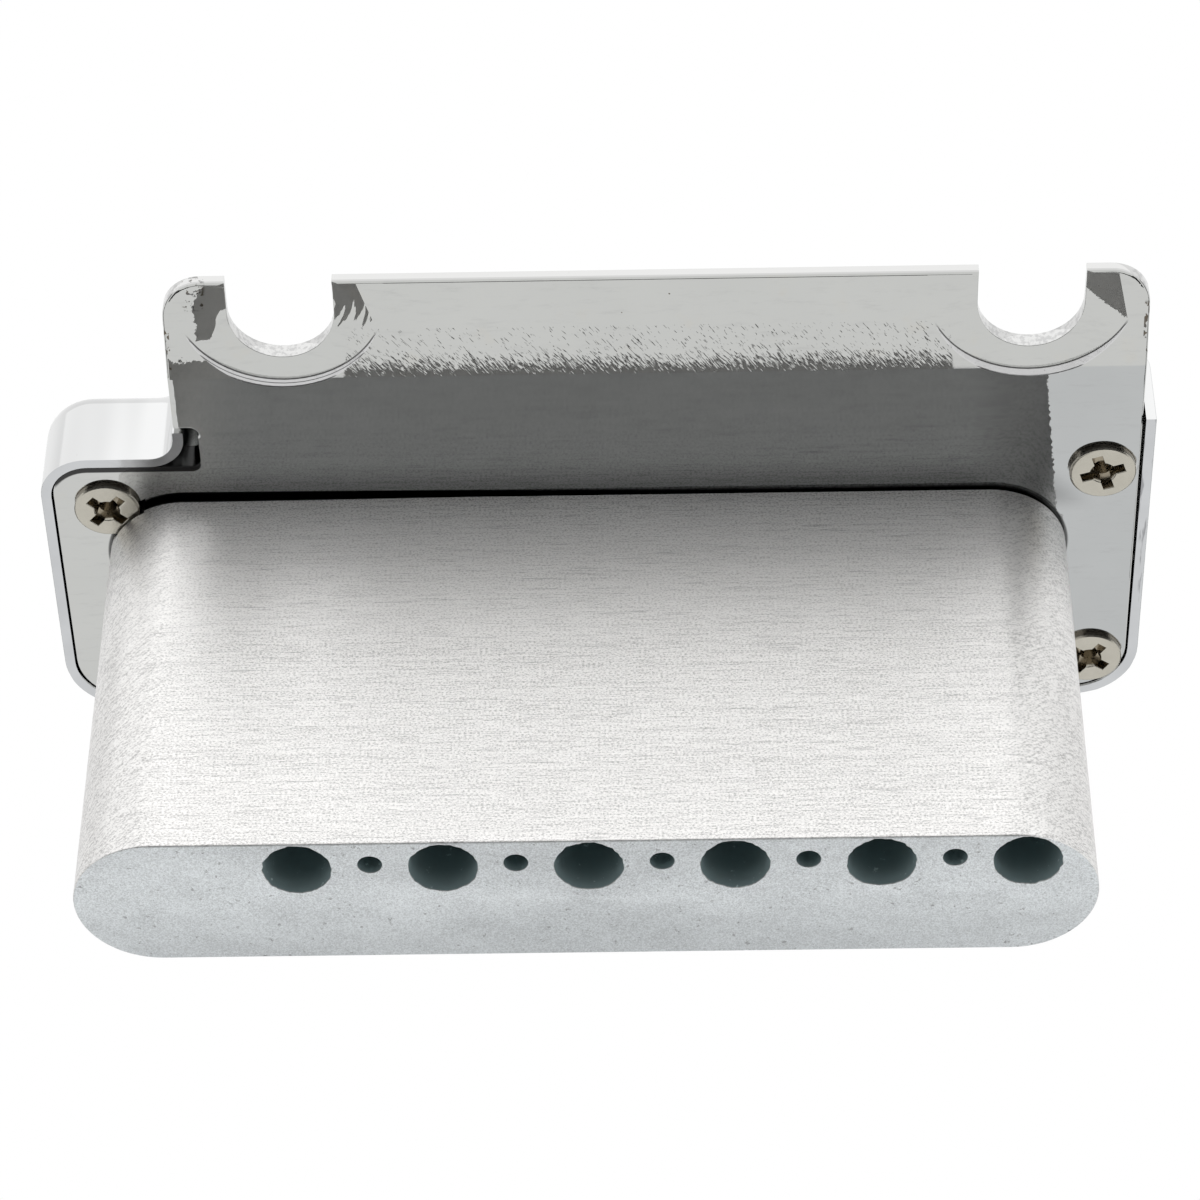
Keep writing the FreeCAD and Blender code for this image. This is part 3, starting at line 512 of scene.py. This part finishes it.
def block_distance(coat):
    """Millimetres outside the block's rounded outline, less than 0 inside it."""
    half_thick = (BLOCK_HIGH.y - BLOCK_LOW.y) / 2
    middle = (BLOCK_LOW + BLOCK_HIGH) / 2
    straight = (BLOCK_HIGH.x - BLOCK_LOW.x) / 2 - half_thick
    past = coat.calc("SUBTRACT", coat.calc("ABSOLUTE", coat.calc("SUBTRACT", coat.x, middle.x)), straight)
    across = coat.calc("SUBTRACT", coat.y, middle.y)
    return coat.calc("SUBTRACT", coat.distance(coat.calc("MAXIMUM", past, 0.0), across), half_thick)


def block_shade(coat):
    """Painted shade in the corner where the plate meets the block, fading out over a few millimetres."""
    away = block_distance(coat)
    in_front = coat.fade(coat.y, BLOCK_LOW.y + 3.0, BLOCK_LOW.y + 0.5)
    near = coat.product(coat.fade(away, 3.6, 0.2), in_front, 0.55)
    line = coat.fade(coat.calc("SUBTRACT", away, root_spread(coat)), 0.3, 0.12)
    return coat.product(coat.largest(near, line), coat.fade(coat.z, 0.3, 0.1))


def root_spread(coat):
    """How much wider the painted shade line at the block's root is towards its treble end."""
    in_front = coat.fade(coat.y, BLOCK_LOW.y + 3.5, BLOCK_LOW.y + 1.5)
    return coat.product(coat.fade(coat.x, 10.0, BLOCK_LOW.x + 4.0), in_front, 0.35)


def cover_chrome():
    """Bright plating, bluish on the rim that closes round the plate, with a few soft wipe marks, and painted
    light with columns of painted reflection on the walls that face the front.
    """
    coat = Finish("cover_chrome")
    cloud = coat.noise(0.10, detail=3, seed=2.0)
    colour = coat.blend(coat.fade(cloud, 0.35, 0.65), grey(0.56, red=0.99), grey(0.64, red=0.99))
    rim = coat.product(coat.fade(coat.z, 0.06, 0.0), coat.fade(coat.face_z, -0.6, -0.9))
    rim_tone = coat.noise(0.3, seed=6.0)
    rim_grey = coat.blend(rim_tone, grey(0.50, red=0.98, blue=1.02), grey(0.64, red=0.98, blue=1.02))
    colour = coat.blend(rim, colour, rim_grey)
    streaks = coat.fade(coat.noise(1.0, (2.2, 0.25, 1.0), detail=3, seed=10.0), 0.56, 0.66)
    bass_rim = coat.product(rim, coat.fade(coat.x, 35.0, 36.0), coat.fade(coat.y, 27.0, 25.0))
    colour = coat.blend(coat.product(bass_rim, streaks, 0.65), colour, grey(0.20, blue=1.05))
    # Painted light: the walls that face the front are lighter, with columns of painted reflection.
    wall = coat.product(coat.fade(coat.face_y, -0.2, -0.6), coat.fade(coat.face_z, -0.6, -0.3))
    painted_reflection_columns = coat.fade(coat.noise(0.22, (1.0, 0.1, 0.1), detail=1, seed=5.0), 0.35, 0.65)
    colour = coat.blend(wall, colour, coat.blend(painted_reflection_columns, grey(0.64, red=0.995), grey(0.76, red=0.995)))
    specks = coat.fade(coat.noise(2.2, detail=2, seed=8.0), 0.76, 0.80)
    colour = coat.blend(specks, colour, grey(0.20))
    wipe = coat.noise(1.0, (0.4, 2.2, 1.2), detail=5, rough=0.65, seed=3.0)
    fine = coat.noise(9.0, detail=3)
    height = coat.calc("ADD", wipe, coat.product(fine, 0.2))
    return coat.finish(colour, coat.level(wipe, 0.08, 0.16), coat.relief(height, 0.002))


def block_alloy():
    """Light alloy: sides finely brushed along the block, a blasted end face, dark bores."""
    coat = Finish("block_alloy", Anisotropic=0.5, Anisotropic_Rotation=0.25)
    around = coat.node("ShaderNodeTangent", direction_type="RADIAL", axis="Z")
    coat.feed(coat.surface.inputs["Tangent"], around.outputs[0])
    past_end = coat.largest(
        coat.fade(coat.x, BLOCK_LOW.x + 7.0, BLOCK_LOW.x + 4.0),
        coat.fade(coat.x, BLOCK_HIGH.x - 7.0, BLOCK_HIGH.x - 4.0),
    )
    grain = brushed_grain(coat, past_end)
    mottle = coat.noise(8.0, detail=4, rough=0.75, seed=1.0)
    end_face = coat.product(
        coat.fade(coat.z, BLOCK_LOW.z + 0.10, BLOCK_LOW.z + 0.04),
        coat.fade(coat.face_z, -0.7, -0.9),
    )
    colour = coat.blend(end_face, side_colour(coat, grain, past_end), end_colour(coat, mottle))
    colour = coat.blend(front_edge_chips(coat), colour, grey(0.17, blue=0.95))
    # Painted shade: a nearly black band along the top of the block, where it meets the plate.
    root = coat.fade(coat.calc("ADD", coat.z, root_spread(coat)), -0.26, -0.16)
    colour = coat.blend(root, colour, grey(0.012))
    bores = bore_mask(coat)
    dust = coat.fade(coat.noise(2.2, detail=4, seed=3.0), 0.64, 0.72)
    slate = coat.blend(dust, grey(0.38, red=0.76, blue=1.03), grey(0.75, red=0.85))
    colour = coat.blend(bores, colour, slate)
    coat.feed(coat.surface.inputs["Metallic"], coat.calc("SUBTRACT", 1.0, bores))

    roughness = coat.mixed(end_face, coat.level(grain, 0.49, 0.335), 0.60)
    roughness = coat.mixed(bores, roughness, 0.55)
    height = coat.mixed(end_face, grain, mottle)
    return coat.finish(colour, roughness, coat.relief(height, 0.02))


def brushed_grain(coat, past_end):
    """Brush lines along the block, slanting on its round ends, broken up by a fine speckle."""
    lines = coat.noise(1.0, (0.45, 0.45, 11.0), detail=4, rough=0.7)
    long_lines = coat.noise(1.0, (0.06, 0.06, 4.0), detail=4, rough=0.6, seed=4.0)
    slanted = coat.turned(coat.place, 40, "Y_AXIS")
    slant = coat.noise(1.0, (0.8, 0.8, 6.0), detail=4, rough=0.7, vector=slanted, seed=6.0)
    brush = coat.mixed(past_end, coat.mixed(0.3, lines, long_lines), slant)
    speckle = coat.noise(1.0, (5.0, 5.0, 8.0), detail=3, rough=0.7, seed=9.0)
    return coat.mixed(0.6, brush, speckle)


def side_colour(coat, grain, past_end):
    """The brushed sides: painted light makes them a little lighter near the root in front, painted shade
    makes them darker at the rear, and they are darker on the ends.
    """
    warm = {"red": 1.01, "blue": 0.985}
    colour = coat.blend(coat.fade(grain, 0.39, 0.55), grey(0.50, **warm), grey(0.99, **warm))
    # Painted light: a little lighter near the root in front.
    lighter = coat.product(coat.span(coat.z, -12.0, -6.0, 6.0), coat.fade(coat.y, STRING_ROW, BLOCK_LOW.y))
    colour = coat.blend(coat.product(lighter, 0.25), colour, grey(0.99, **warm))
    # Painted shade: darker towards the rear.
    rear = coat.fade(coat.y, STRING_ROW, BLOCK_HIGH.y)
    colour = coat.blend(coat.product(rear, 0.35), colour, grey(0.48, **warm))
    scratches = coat.fade(coat.noise(1.0, (0.28, 0.28, 9.0), detail=2, seed=13.0), 0.60, 0.66)
    colour = coat.blend(coat.product(scratches, 0.40), colour, grey(0.36))
    return coat.blend(coat.product(past_end, 0.22), colour, grey(0.45, **warm))


def end_colour(coat, mottle):
    """The blasted end face: mottled, darker towards the rear, with a few dark pits."""
    cool = {"red": 0.965, "blue": 1.015}
    cloud = coat.noise(0.22, (1, 2, 1), detail=3, seed=2.0)
    tone = coat.fade(coat.mixed(0.18, mottle, cloud), 0.33, 0.65)
    colour = coat.blend(tone, grey(0.53, **cool), grey(0.89, **cool))
    # Darker towards the rear of the end face.
    darker_towards_rear = coat.fade(coat.y, BLOCK_LOW.y + 3.0, BLOCK_HIGH.y)
    colour = coat.blend(coat.product(darker_towards_rear, 0.25), colour, grey(0.48, red=0.95, blue=1.02))
    pits = coat.fade(coat.noise(2.3, detail=3, rough=0.6, seed=15.0), 0.64, 0.69)
    return coat.blend(coat.product(pits, 0.55), colour, grey(0.20))


def bore_mask(coat):
    """Inside the holes of the block's end face."""
    phase = coat.calc("DIVIDE", coat.x, STRING_PITCH)
    inside = 0.0
    for row, radius, offset in ((STRING_ROW, BALL_HOLE, 0.5), (SPRING_ROW, SPRING_HOLE, 0.0)):
        nearest = coat.calc("ROUND", coat.calc("SUBTRACT", phase, offset))
        nearest = coat.calc("MINIMUM", coat.calc("MAXIMUM", nearest, -2.0 - 2 * offset), 2.0)
        across = coat.product(coat.calc("SUBTRACT", phase, coat.calc("ADD", nearest, offset)), STRING_PITCH)
        reach = coat.distance(across, coat.calc("SUBTRACT", coat.y, row))
        inside = coat.largest(inside, coat.fade(reach, radius + 0.34, radius + 0.30))
    return coat.product(
        inside,
        coat.fade(block_distance(coat), -0.04, -0.08),
        coat.span(coat.z, BLOCK_LOW.z + 0.12, -0.8, 0.12),
        coat.fade(coat.face_z, -0.95, -0.8),
    )


def front_edge_chips(coat):
    """The uneven thin line where the brushed front meets the blasted end, with a few longer chips."""
    low = coat.fade(coat.z, BLOCK_LOW.z + 0.16, BLOCK_LOW.z + 0.06)
    rough = coat.noise(0.9, detail=5, rough=0.7, seed=12.0)
    at_front = coat.fade(coat.y, BLOCK_LOW.y + 0.22, BLOCK_LOW.y + 0.12)
    line = coat.product(at_front, coat.level(rough, 0.0, 0.6))
    ragged = coat.level(coat.noise(1.1, (0.5, 1, 1), detail=4, seed=14.0), -1.6, 0.9)
    chips = coat.fade(coat.calc("SUBTRACT", coat.y, coat.calc("ADD", ragged, BLOCK_LOW.y)), 0.1, 0.0)
    return coat.product(low, coat.largest(line, coat.product(chips, 0.8)))


def screw_nickel():
    """Warm nickel heads with a soot-dark cross recess."""
    coat = Finish("screw_nickel")
    cloud = coat.noise(0.8, detail=4)
    colour = coat.blend(cloud, grey(0.40, red=1.05, blue=0.86), grey(0.52, red=1.04, blue=0.88))
    sunk = coat.product(
        coat.fade(coat.z, SCREW_LOW.z + 0.06, SCREW_LOW.z + 0.3),
        coat.fade(coat.z, 1.9, 1.6),
    )
    dark_soot, light_soot = grey(0.12, red=1.2, blue=0.72), grey(0.40, red=1.12, blue=0.78)
    soot = coat.blend(coat.noise(2.5, seed=2.0), dark_soot, light_soot)
    far_off = 1000.0
    from_axis = far_off
    for x, y in SCREW_SPOTS:
        reach = coat.distance(coat.calc("SUBTRACT", coat.x, x), coat.calc("SUBTRACT", coat.y, y))
        from_axis = coat.calc("MINIMUM", reach, from_axis)
    head_wall = coat.span(from_axis, RECESS_REACH, SCREW_HEAD + 0.2, 0.1)
    colour = coat.blend(coat.product(sunk, coat.calc("SUBTRACT", 1.0, head_wall)), colour, soot)
    tarnish = coat.product(sunk, head_wall, coat.noise(0.9, detail=3, seed=7.0))
    colour = coat.blend(tarnish, colour, grey(0.16, red=1.3, blue=0.7))
    turning = coat.noise(6.0, detail=2, seed=5.0)
    return coat.finish(colour, coat.level(cloud, 0.16, 0.30), coat.relief(turning, 0.004))


def satin_metal(name, tone, tint, roughness, grain, stretch=(1, 1, 1), depth=0.006):
    """A plain machined or plated metal: cloudy tone, fine grain along the way it was worked."""
    coat = Finish(name)
    cloud = coat.noise(0.25, detail=4, seed=1.0)
    lines = coat.noise(grain, stretch, detail=4, rough=0.65)
    red, green, blue = tint
    colour = coat.blend(cloud, grey(tone * 0.86, red, green, blue), grey(tone * 1.08, red, green, blue))
    colour = coat.blend(coat.product(lines, 0.35), colour, grey(tone * 0.7, red, green, blue))
    low, high = roughness
    return coat.finish(colour, coat.level(lines, low, high), coat.relief(lines, depth))


def bush_plastic():
    """Black plastic with a soft moulded grain."""
    coat = Finish("bush_plastic", metallic=0.0, IOR=1.48)
    grain = coat.noise(5.0, detail=4)
    colour = coat.blend(grain, grey(0.010), grey(0.022))
    return coat.finish(colour, coat.level(grain, 0.32, 0.48), coat.relief(grain, 0.01))


FINISHES = {
    "plate_chrome": plate_chrome(),
    "cover_chrome": cover_chrome(),
    "block_alloy": block_alloy(),
    "screw_nickel": screw_nickel(),
    "saddle_steel": satin_metal("saddle_steel", 0.62, (1.0, 1.0, 0.99), (0.14, 0.28), 1.0, (0.3, 3.0, 3.0)),
    "rail_steel": satin_metal("rail_steel", 0.42, (1.0, 1.0, 1.01), (0.25, 0.42), 1.0, (0.15, 5.0, 5.0)),
    "socket_steel": satin_metal("socket_steel", 0.60, (1.0, 1.0, 1.0), (0.10, 0.22), 1.0, (0.6, 0.6, 6.0)),
    "bush_plastic": bush_plastic(),
    "nut_brass": satin_metal("nut_brass", 0.60, (1.15, 0.86, 0.42), (0.22, 0.40), 3.0),
    "screw_steel": satin_metal("screw_steel", 0.58, (1.01, 1.0, 0.97), (0.16, 0.30), 4.0),
    "clip_steel": satin_metal("clip_steel", 0.22, (1.0, 1.0, 1.02), (0.28, 0.45), 4.0),
    "grub_steel": satin_metal("grub_steel", 0.10, (1.0, 1.0, 1.02), (0.25, 0.42), 4.0),
}


# Pieces: each solid's mesh with its sharp edges broken, or the solid itself with its finish

def rounded(work, width, chosen=None, segments=3, sharp=25.0):
    """Breaks edges that bend by more than sharp degrees; chosen may pick them by their middle."""
    bmesh.ops.remove_doubles(work, verts=work.verts, dist=1e-6)
    bmesh.ops.dissolve_limit(work, angle_limit=math.radians(0.3), verts=work.verts, edges=work.edges)
    edges = []
    for edge in work.edges:
        middle = (edge.verts[0].co + edge.verts[1].co) / (2 * MM)
        if edge.calc_face_angle(0.0) > math.radians(sharp) and (not chosen or chosen(middle)):
            edges.append(edge)
    bmesh.ops.bevel(
        work,
        geom=edges,
        offset=width * MM,
        offset_type="OFFSET",
        segments=segments,
        profile=0.5,
        affect="EDGES",
        clamp_overlap=False,
    )


def chip_bores(work):
    """Breaks the lips of the string holes outward by uneven amounts, as drilling leaves them."""
    lip, broken, least = 0.5, 0.11, -0.07
    geometry = work.verts[:] + work.edges[:] + work.faces[:]
    lip_end = (0, 0, (BLOCK_LOW.z + lip) * MM)
    bmesh.ops.bisect_plane(work, geom=geometry, plane_co=lip_end, plane_no=(0, 0, 1))
    for string in STRINGS:
        centre = Vector(mount_place(f"string_hole_{string}"))
        rim = [edge for edge in work.edges if all(on_rim(vertex.co / MM, centre) for vertex in edge.verts)]
        bmesh.ops.subdivide_edges(work, edges=rim, cuts=3)
        for vertex in work.verts:
            spot = vertex.co / MM
            if on_rim(spot, centre):
                away = (spot - centre).xy
                rough = noise.noise(spot * 2.6) * 0.10 + noise.noise(spot * 0.9) * 0.08
                grown = away * (BALL_HOLE + broken + max(least, rough)) / away.length
                vertex.co.xy = (centre.xy + grown) * MM


def on_rim(spot, centre):
    """Whether a spot is on the lip of the string hole at centre."""
    return abs(spot.z - BLOCK_LOW.z) < 0.01 and abs((spot - centre).xy.length - BALL_HOLE) < 0.1


def keep_flat(mesh, flat_area):
    """Shades large faces flat, and lets the small ones between them run smoothly from one to the next."""
    same_side = 0.6
    large = {}
    for face in mesh.polygons:
        if face.area > flat_area * MM ** 2:
            for corner in face.vertices:
                large.setdefault(corner, []).append(face.normal.copy())
    normals = []
    for face in mesh.polygons:
        for loop in face.loop_indices:
            normal = mesh.corner_normals[loop].vector.copy()
            near = max(large.get(mesh.loops[loop].vertex_index, [normal]), key=face.normal.dot)
            normals.append(near if near.dot(face.normal) > same_side else normal)
    mesh.normals_split_custom_set(normals)


def add_piece(node, shape, flat_area=math.inf):
    """Stands a reshaped copy of a solid in its place, on the same body and with the same finish.

    Edges between two faces larger than flat_area, in square millimetres, are kept sharp.
    """
    flat_bend, smooth_bend = 5, 32
    row = next(row for row in frame["record"]["subparts"] if row["node"] == node)
    work = bmesh.new()
    work.from_mesh(frame["nodes"][node].data)
    shape(work)
    for face in work.faces:
        face.smooth = True
    for edge in work.edges:
        bend = math.degrees(edge.calc_face_angle(0.0))
        large = all(face.calc_area() > flat_area * MM ** 2 for face in edge.link_faces)
        edge.smooth = bend < smooth_bend and not (bend > flat_bend and large)
    mesh = bpy.data.meshes.new(f"{node}_finished")
    work.to_mesh(mesh)
    work.free()
    mesh.materials.append(FINISHES[row["material_slot"]])
    piece = bpy.data.objects.new(f"{node}_finished", mesh)
    bpy.context.scene.collection.objects.link(piece)
    if math.isfinite(flat_area):
        keep_flat(mesh, flat_area)
    else:
        even = piece.modifiers.new("even_shading", "WEIGHTED_NORMAL")
        even.keep_sharp = True
    body = next(name for name, nodes in frame["record"]["behaviour"]["bodies"].items() if node in nodes)
    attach(piece, body)
    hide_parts(node)


def plate_nose(spot):
    """Edges of the nose and the notches, but for the crisp lower edge of the nose."""
    lower_edge = spot.y < PLATE_LOW.y + 0.5 and spot.z < 2.2
    return spot.y < CREASE + 1.0 and not lower_edge and abs(spot.x) < PLATE_HALF - 0.3


def close_seam(work, gain=0.12):
    """Draws the plate's sides out towards the cover by a hair, so that the seam shows as a fine line."""
    treble_from, bass_from, rear_from, ear_end = -37.5, 31.0, 26.0, 7.5
    for vertex in work.verts:
        spot = vertex.co / MM
        if spot.x < treble_from:
            vertex.co.x += gain * MM * (spot.x - treble_from) / (treble_from - PLATE_LOW.x)
        if spot.x > bass_from and spot.y > ear_end:
            vertex.co.x += gain * MM * (spot.x - bass_from) / (PLATE_HIGH.x - bass_from)
        if spot.y > rear_from:
            vertex.co.y += gain * MM * (spot.y - rear_from) / (PLATE_HIGH.y - rear_from)


def shape_plate(work):
    """Breaks the nose's edges and closes the seam to the cover."""
    rounded(work, 0.05, plate_nose)
    close_seam(work)


def shape_block(work):
    """Breaks the outline of the end face and chips the lips of the string holes."""
    rounded(work, 0.10, lambda spot: spot.z < BLOCK_LOW.z + 0.2 and outside_bores(spot))
    chip_bores(work)


def outside_bores(spot):
    """Whether a spot on the end face is clear of the row of holes."""
    behind_holes = spot.y > STRING_ROW + BALL_HOLE + 0.5
    past_holes = abs(spot.x) > 3 * STRING_PITCH
    return spot.y < BLOCK_LOW.y + 0.05 or behind_holes or past_holes


def shape_cover(work):
    """Breaks the edges of the cover's sides and, less, those of its top and window."""
    low, high = (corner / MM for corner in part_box("top_cover"))
    outside, top_from = 0.3, 7.6

    def on_side(spot):
        return spot.x < low.x + outside or spot.x > high.x - outside or spot.y > high.y - outside

    rounded(work, 0.10, on_side)
    rounded(work, 0.05, lambda spot: spot.z > top_from)


def shape_screws(work):
    """Breaks the edges round the heads and their cross recesses."""
    rounded(work, 0.07, lambda spot: abs(spot.z - SCREW_LOW.z) < 0.02)


def broken_edges(width, **options):
    """The shaping of a piece that only has its sharp edges broken."""
    return lambda work: rounded(work, width, **options)


add_piece("base_plate", shape_plate, flat_area=12.0)
add_piece("sustain_block", shape_block)
add_piece("top_cover", shape_cover)
add_piece("cover_screws", shape_screws)
add_piece("intonation_rail", broken_edges(0.12))
add_piece("arm_socket", broken_edges(0.15))
add_piece("arm_bush", broken_edges(0.12))
for string in STRINGS:
    add_piece(f"saddle_{string}", broken_edges(0.05, sharp=45.0))
    add_piece(f"intonation_nut_{string}", broken_edges(0.10))
    add_piece(f"height_screws_{string}", broken_edges(0.06))
    add_piece(f"intonation_screw_{string}", broken_edges(0.06))
for row in frame["record"]["subparts"]:
    mesh = frame["nodes"][row["node"]].data
    mesh.materials.clear()
    mesh.materials.append(FINISHES[row["material_slot"]])


# Stage, light and camera

def light_world():
    """White to the eye and in reflections, a little lower for what it adds to matt surfaces."""
    world = bpy.data.worlds.new("studio")
    bpy.context.scene.world = world
    world.use_nodes = True
    tree = world.node_tree
    path = tree.nodes.new("ShaderNodeLightPath")
    seen = path.outputs["Is Camera Ray"]
    for ray in ("Is Glossy Ray", "Is Transmission Ray"):
        either = tree.nodes.new("ShaderNodeMath")
        either.operation = "MAXIMUM"
        tree.links.new(seen, either.inputs[0])
        tree.links.new(path.outputs[ray], either.inputs[1])
        seen = either.outputs[0]
    strength = tree.nodes.new("ShaderNodeMapRange")
    strength.inputs["To Min"].default_value = 0.75
    tree.links.new(seen, strength.inputs["Value"])
    background = tree.nodes["Background"]
    background.inputs["Color"].default_value = (1, 1, 1, 1)
    tree.links.new(strength.outputs[0], background.inputs["Strength"])


def lay_floor(half=2.0):
    """A pale floor under the block's end, that shows only from above and lets light through from below."""
    mesh = bpy.data.meshes.new("floor")
    corners = [(-half, -half, 0), (half, -half, 0), (half, half, 0), (-half, half, 0)]
    mesh.from_pydata(corners, [], [(0, 1, 2, 3)])
    floor = bpy.data.objects.new("floor", mesh)
    floor.location.z = BLOCK_LOW.z * MM
    bpy.context.scene.collection.objects.link(floor)
    coat = Finish("floor_pale", metallic=0.0)
    dust = coat.noise(0.004, detail=4)
    coat.finish(coat.blend(dust, grey(0.90), grey(0.94)), 0.85)
    path = coat.node("ShaderNodeLightPath")
    facing = coat.node("ShaderNodeNewGeometry")
    front = coat.calc("SUBTRACT", 1.0, facing.outputs["Backfacing"])
    shown = coat.product(path.outputs["Is Camera Ray"], front)
    clear = coat.node("ShaderNodeBsdfTransparent")
    mix = coat.node("ShaderNodeMixShader", {0: shown, 1: clear.outputs[0], 2: coat.surface.outputs[0]})
    coat.tree.links.new(mix.outputs[0], coat.tree.nodes["Material Output"].inputs["Surface"])
    mesh.materials.append(coat.material)


def hang_lamp(name, place, aim, width, height, radiance):
    """A soft lamp, given by how bright its face is, in metres."""
    data = bpy.data.lights.new(name, "AREA")
    data.shape = "RECTANGLE"
    data.size = width
    data.size_y = height
    data.energy = radiance * math.pi * width * height
    lamp = bpy.data.objects.new(name, data)
    bpy.context.scene.collection.objects.link(lamp)
    lamp.location = place
    lamp.rotation_euler = (Vector(aim) - Vector(place)).to_track_quat("-Z", "Y").to_euler()


def hang_card(name, strips, tone):
    """A dark card that only reflections and shadows see, given by rows of points across it, in metres."""
    mesh = bpy.data.meshes.new(name)
    across = len(strips[0])
    corners = [point for strip in strips for point in strip]
    faces = []
    for row in range(len(strips) - 1):
        for k in range(across - 1):
            first = row * across + k
            faces.append((first, first + 1, first + across + 1, first + across))
    mesh.from_pydata(corners, [], faces)
    card = bpy.data.objects.new(name, mesh)
    bpy.context.scene.collection.objects.link(card)
    card.visible_camera = False
    coat = Finish(name, metallic=0.0)
    weave = coat.noise(0.02, detail=3)
    coat.finish(coat.blend(weave, grey(tone * 0.8), grey(tone * 1.2)), 0.9)
    mesh.materials.append(coat.material)


def camera_card(radius=0.43, half_width=0.75, steepest=-86, shallowest=-31, steps=8):
    """A curved dark card behind the camera, from below the part up past the lens."""
    strips = []
    for step in range(steps + 1):
        rise = math.radians(steepest + (shallowest - steepest) * step / steps)
        y, z = -radius * math.cos(rise), radius * math.sin(rise)
        strips.append([(-half_width, y, z), (half_width, y, z)])
    hang_card("camera_card", strips, 0.06)


def horizon_card(radius=1.3, low=-0.16, high=0.20, steps=32):
    """A grey band at eye level behind the part, that gives polished edges something to show."""
    turns = [math.pi * (1.2 * step / steps - 0.1) for step in range(steps + 1)]
    strips = [[(radius * math.cos(turn), radius * math.sin(turn), z) for turn in turns] for z in (low, high)]
    hang_card("horizon_card", strips, 0.25)


CAMERA_PLACE = (1.4, -233.08, -259.58)
CAMERA_LOOK = (-0.01679, 0.70491, 0.7091)
CAMERA_UP = (0.01382, -0.70896, 0.70511)
SENSOR_WIDTH = 36.0
LENS = 139.578


def set_camera():
    """The camera that the photograph was taken with, solved from the string holes, notches and edges."""
    look = Vector(CAMERA_LOOK).normalized()
    right = look.cross(Vector(CAMERA_UP)).normalized()
    up = right.cross(look)
    data = bpy.data.cameras.new("camera")
    data.sensor_width = SENSOR_WIDTH
    data.lens = LENS
    data.clip_start = 0.01
    camera = bpy.data.objects.new("camera", data)
    bpy.context.scene.collection.objects.link(camera)
    turn = Matrix((right, up, -look)).transposed().to_4x4()
    camera.matrix_world = Matrix.Translation(Vector(CAMERA_PLACE) * MM) @ turn
    bpy.context.scene.camera = camera


light_world()
lay_floor()
hang_lamp("key", (-0.15, -0.72, 0.46), aim=(0.0, 0.014, -0.01), width=2.2, height=1.3, radiance=0.22)
camera_card()
horizon_card()
set_camera()
bpy.context.scene.view_settings.view_transform = "Standard"
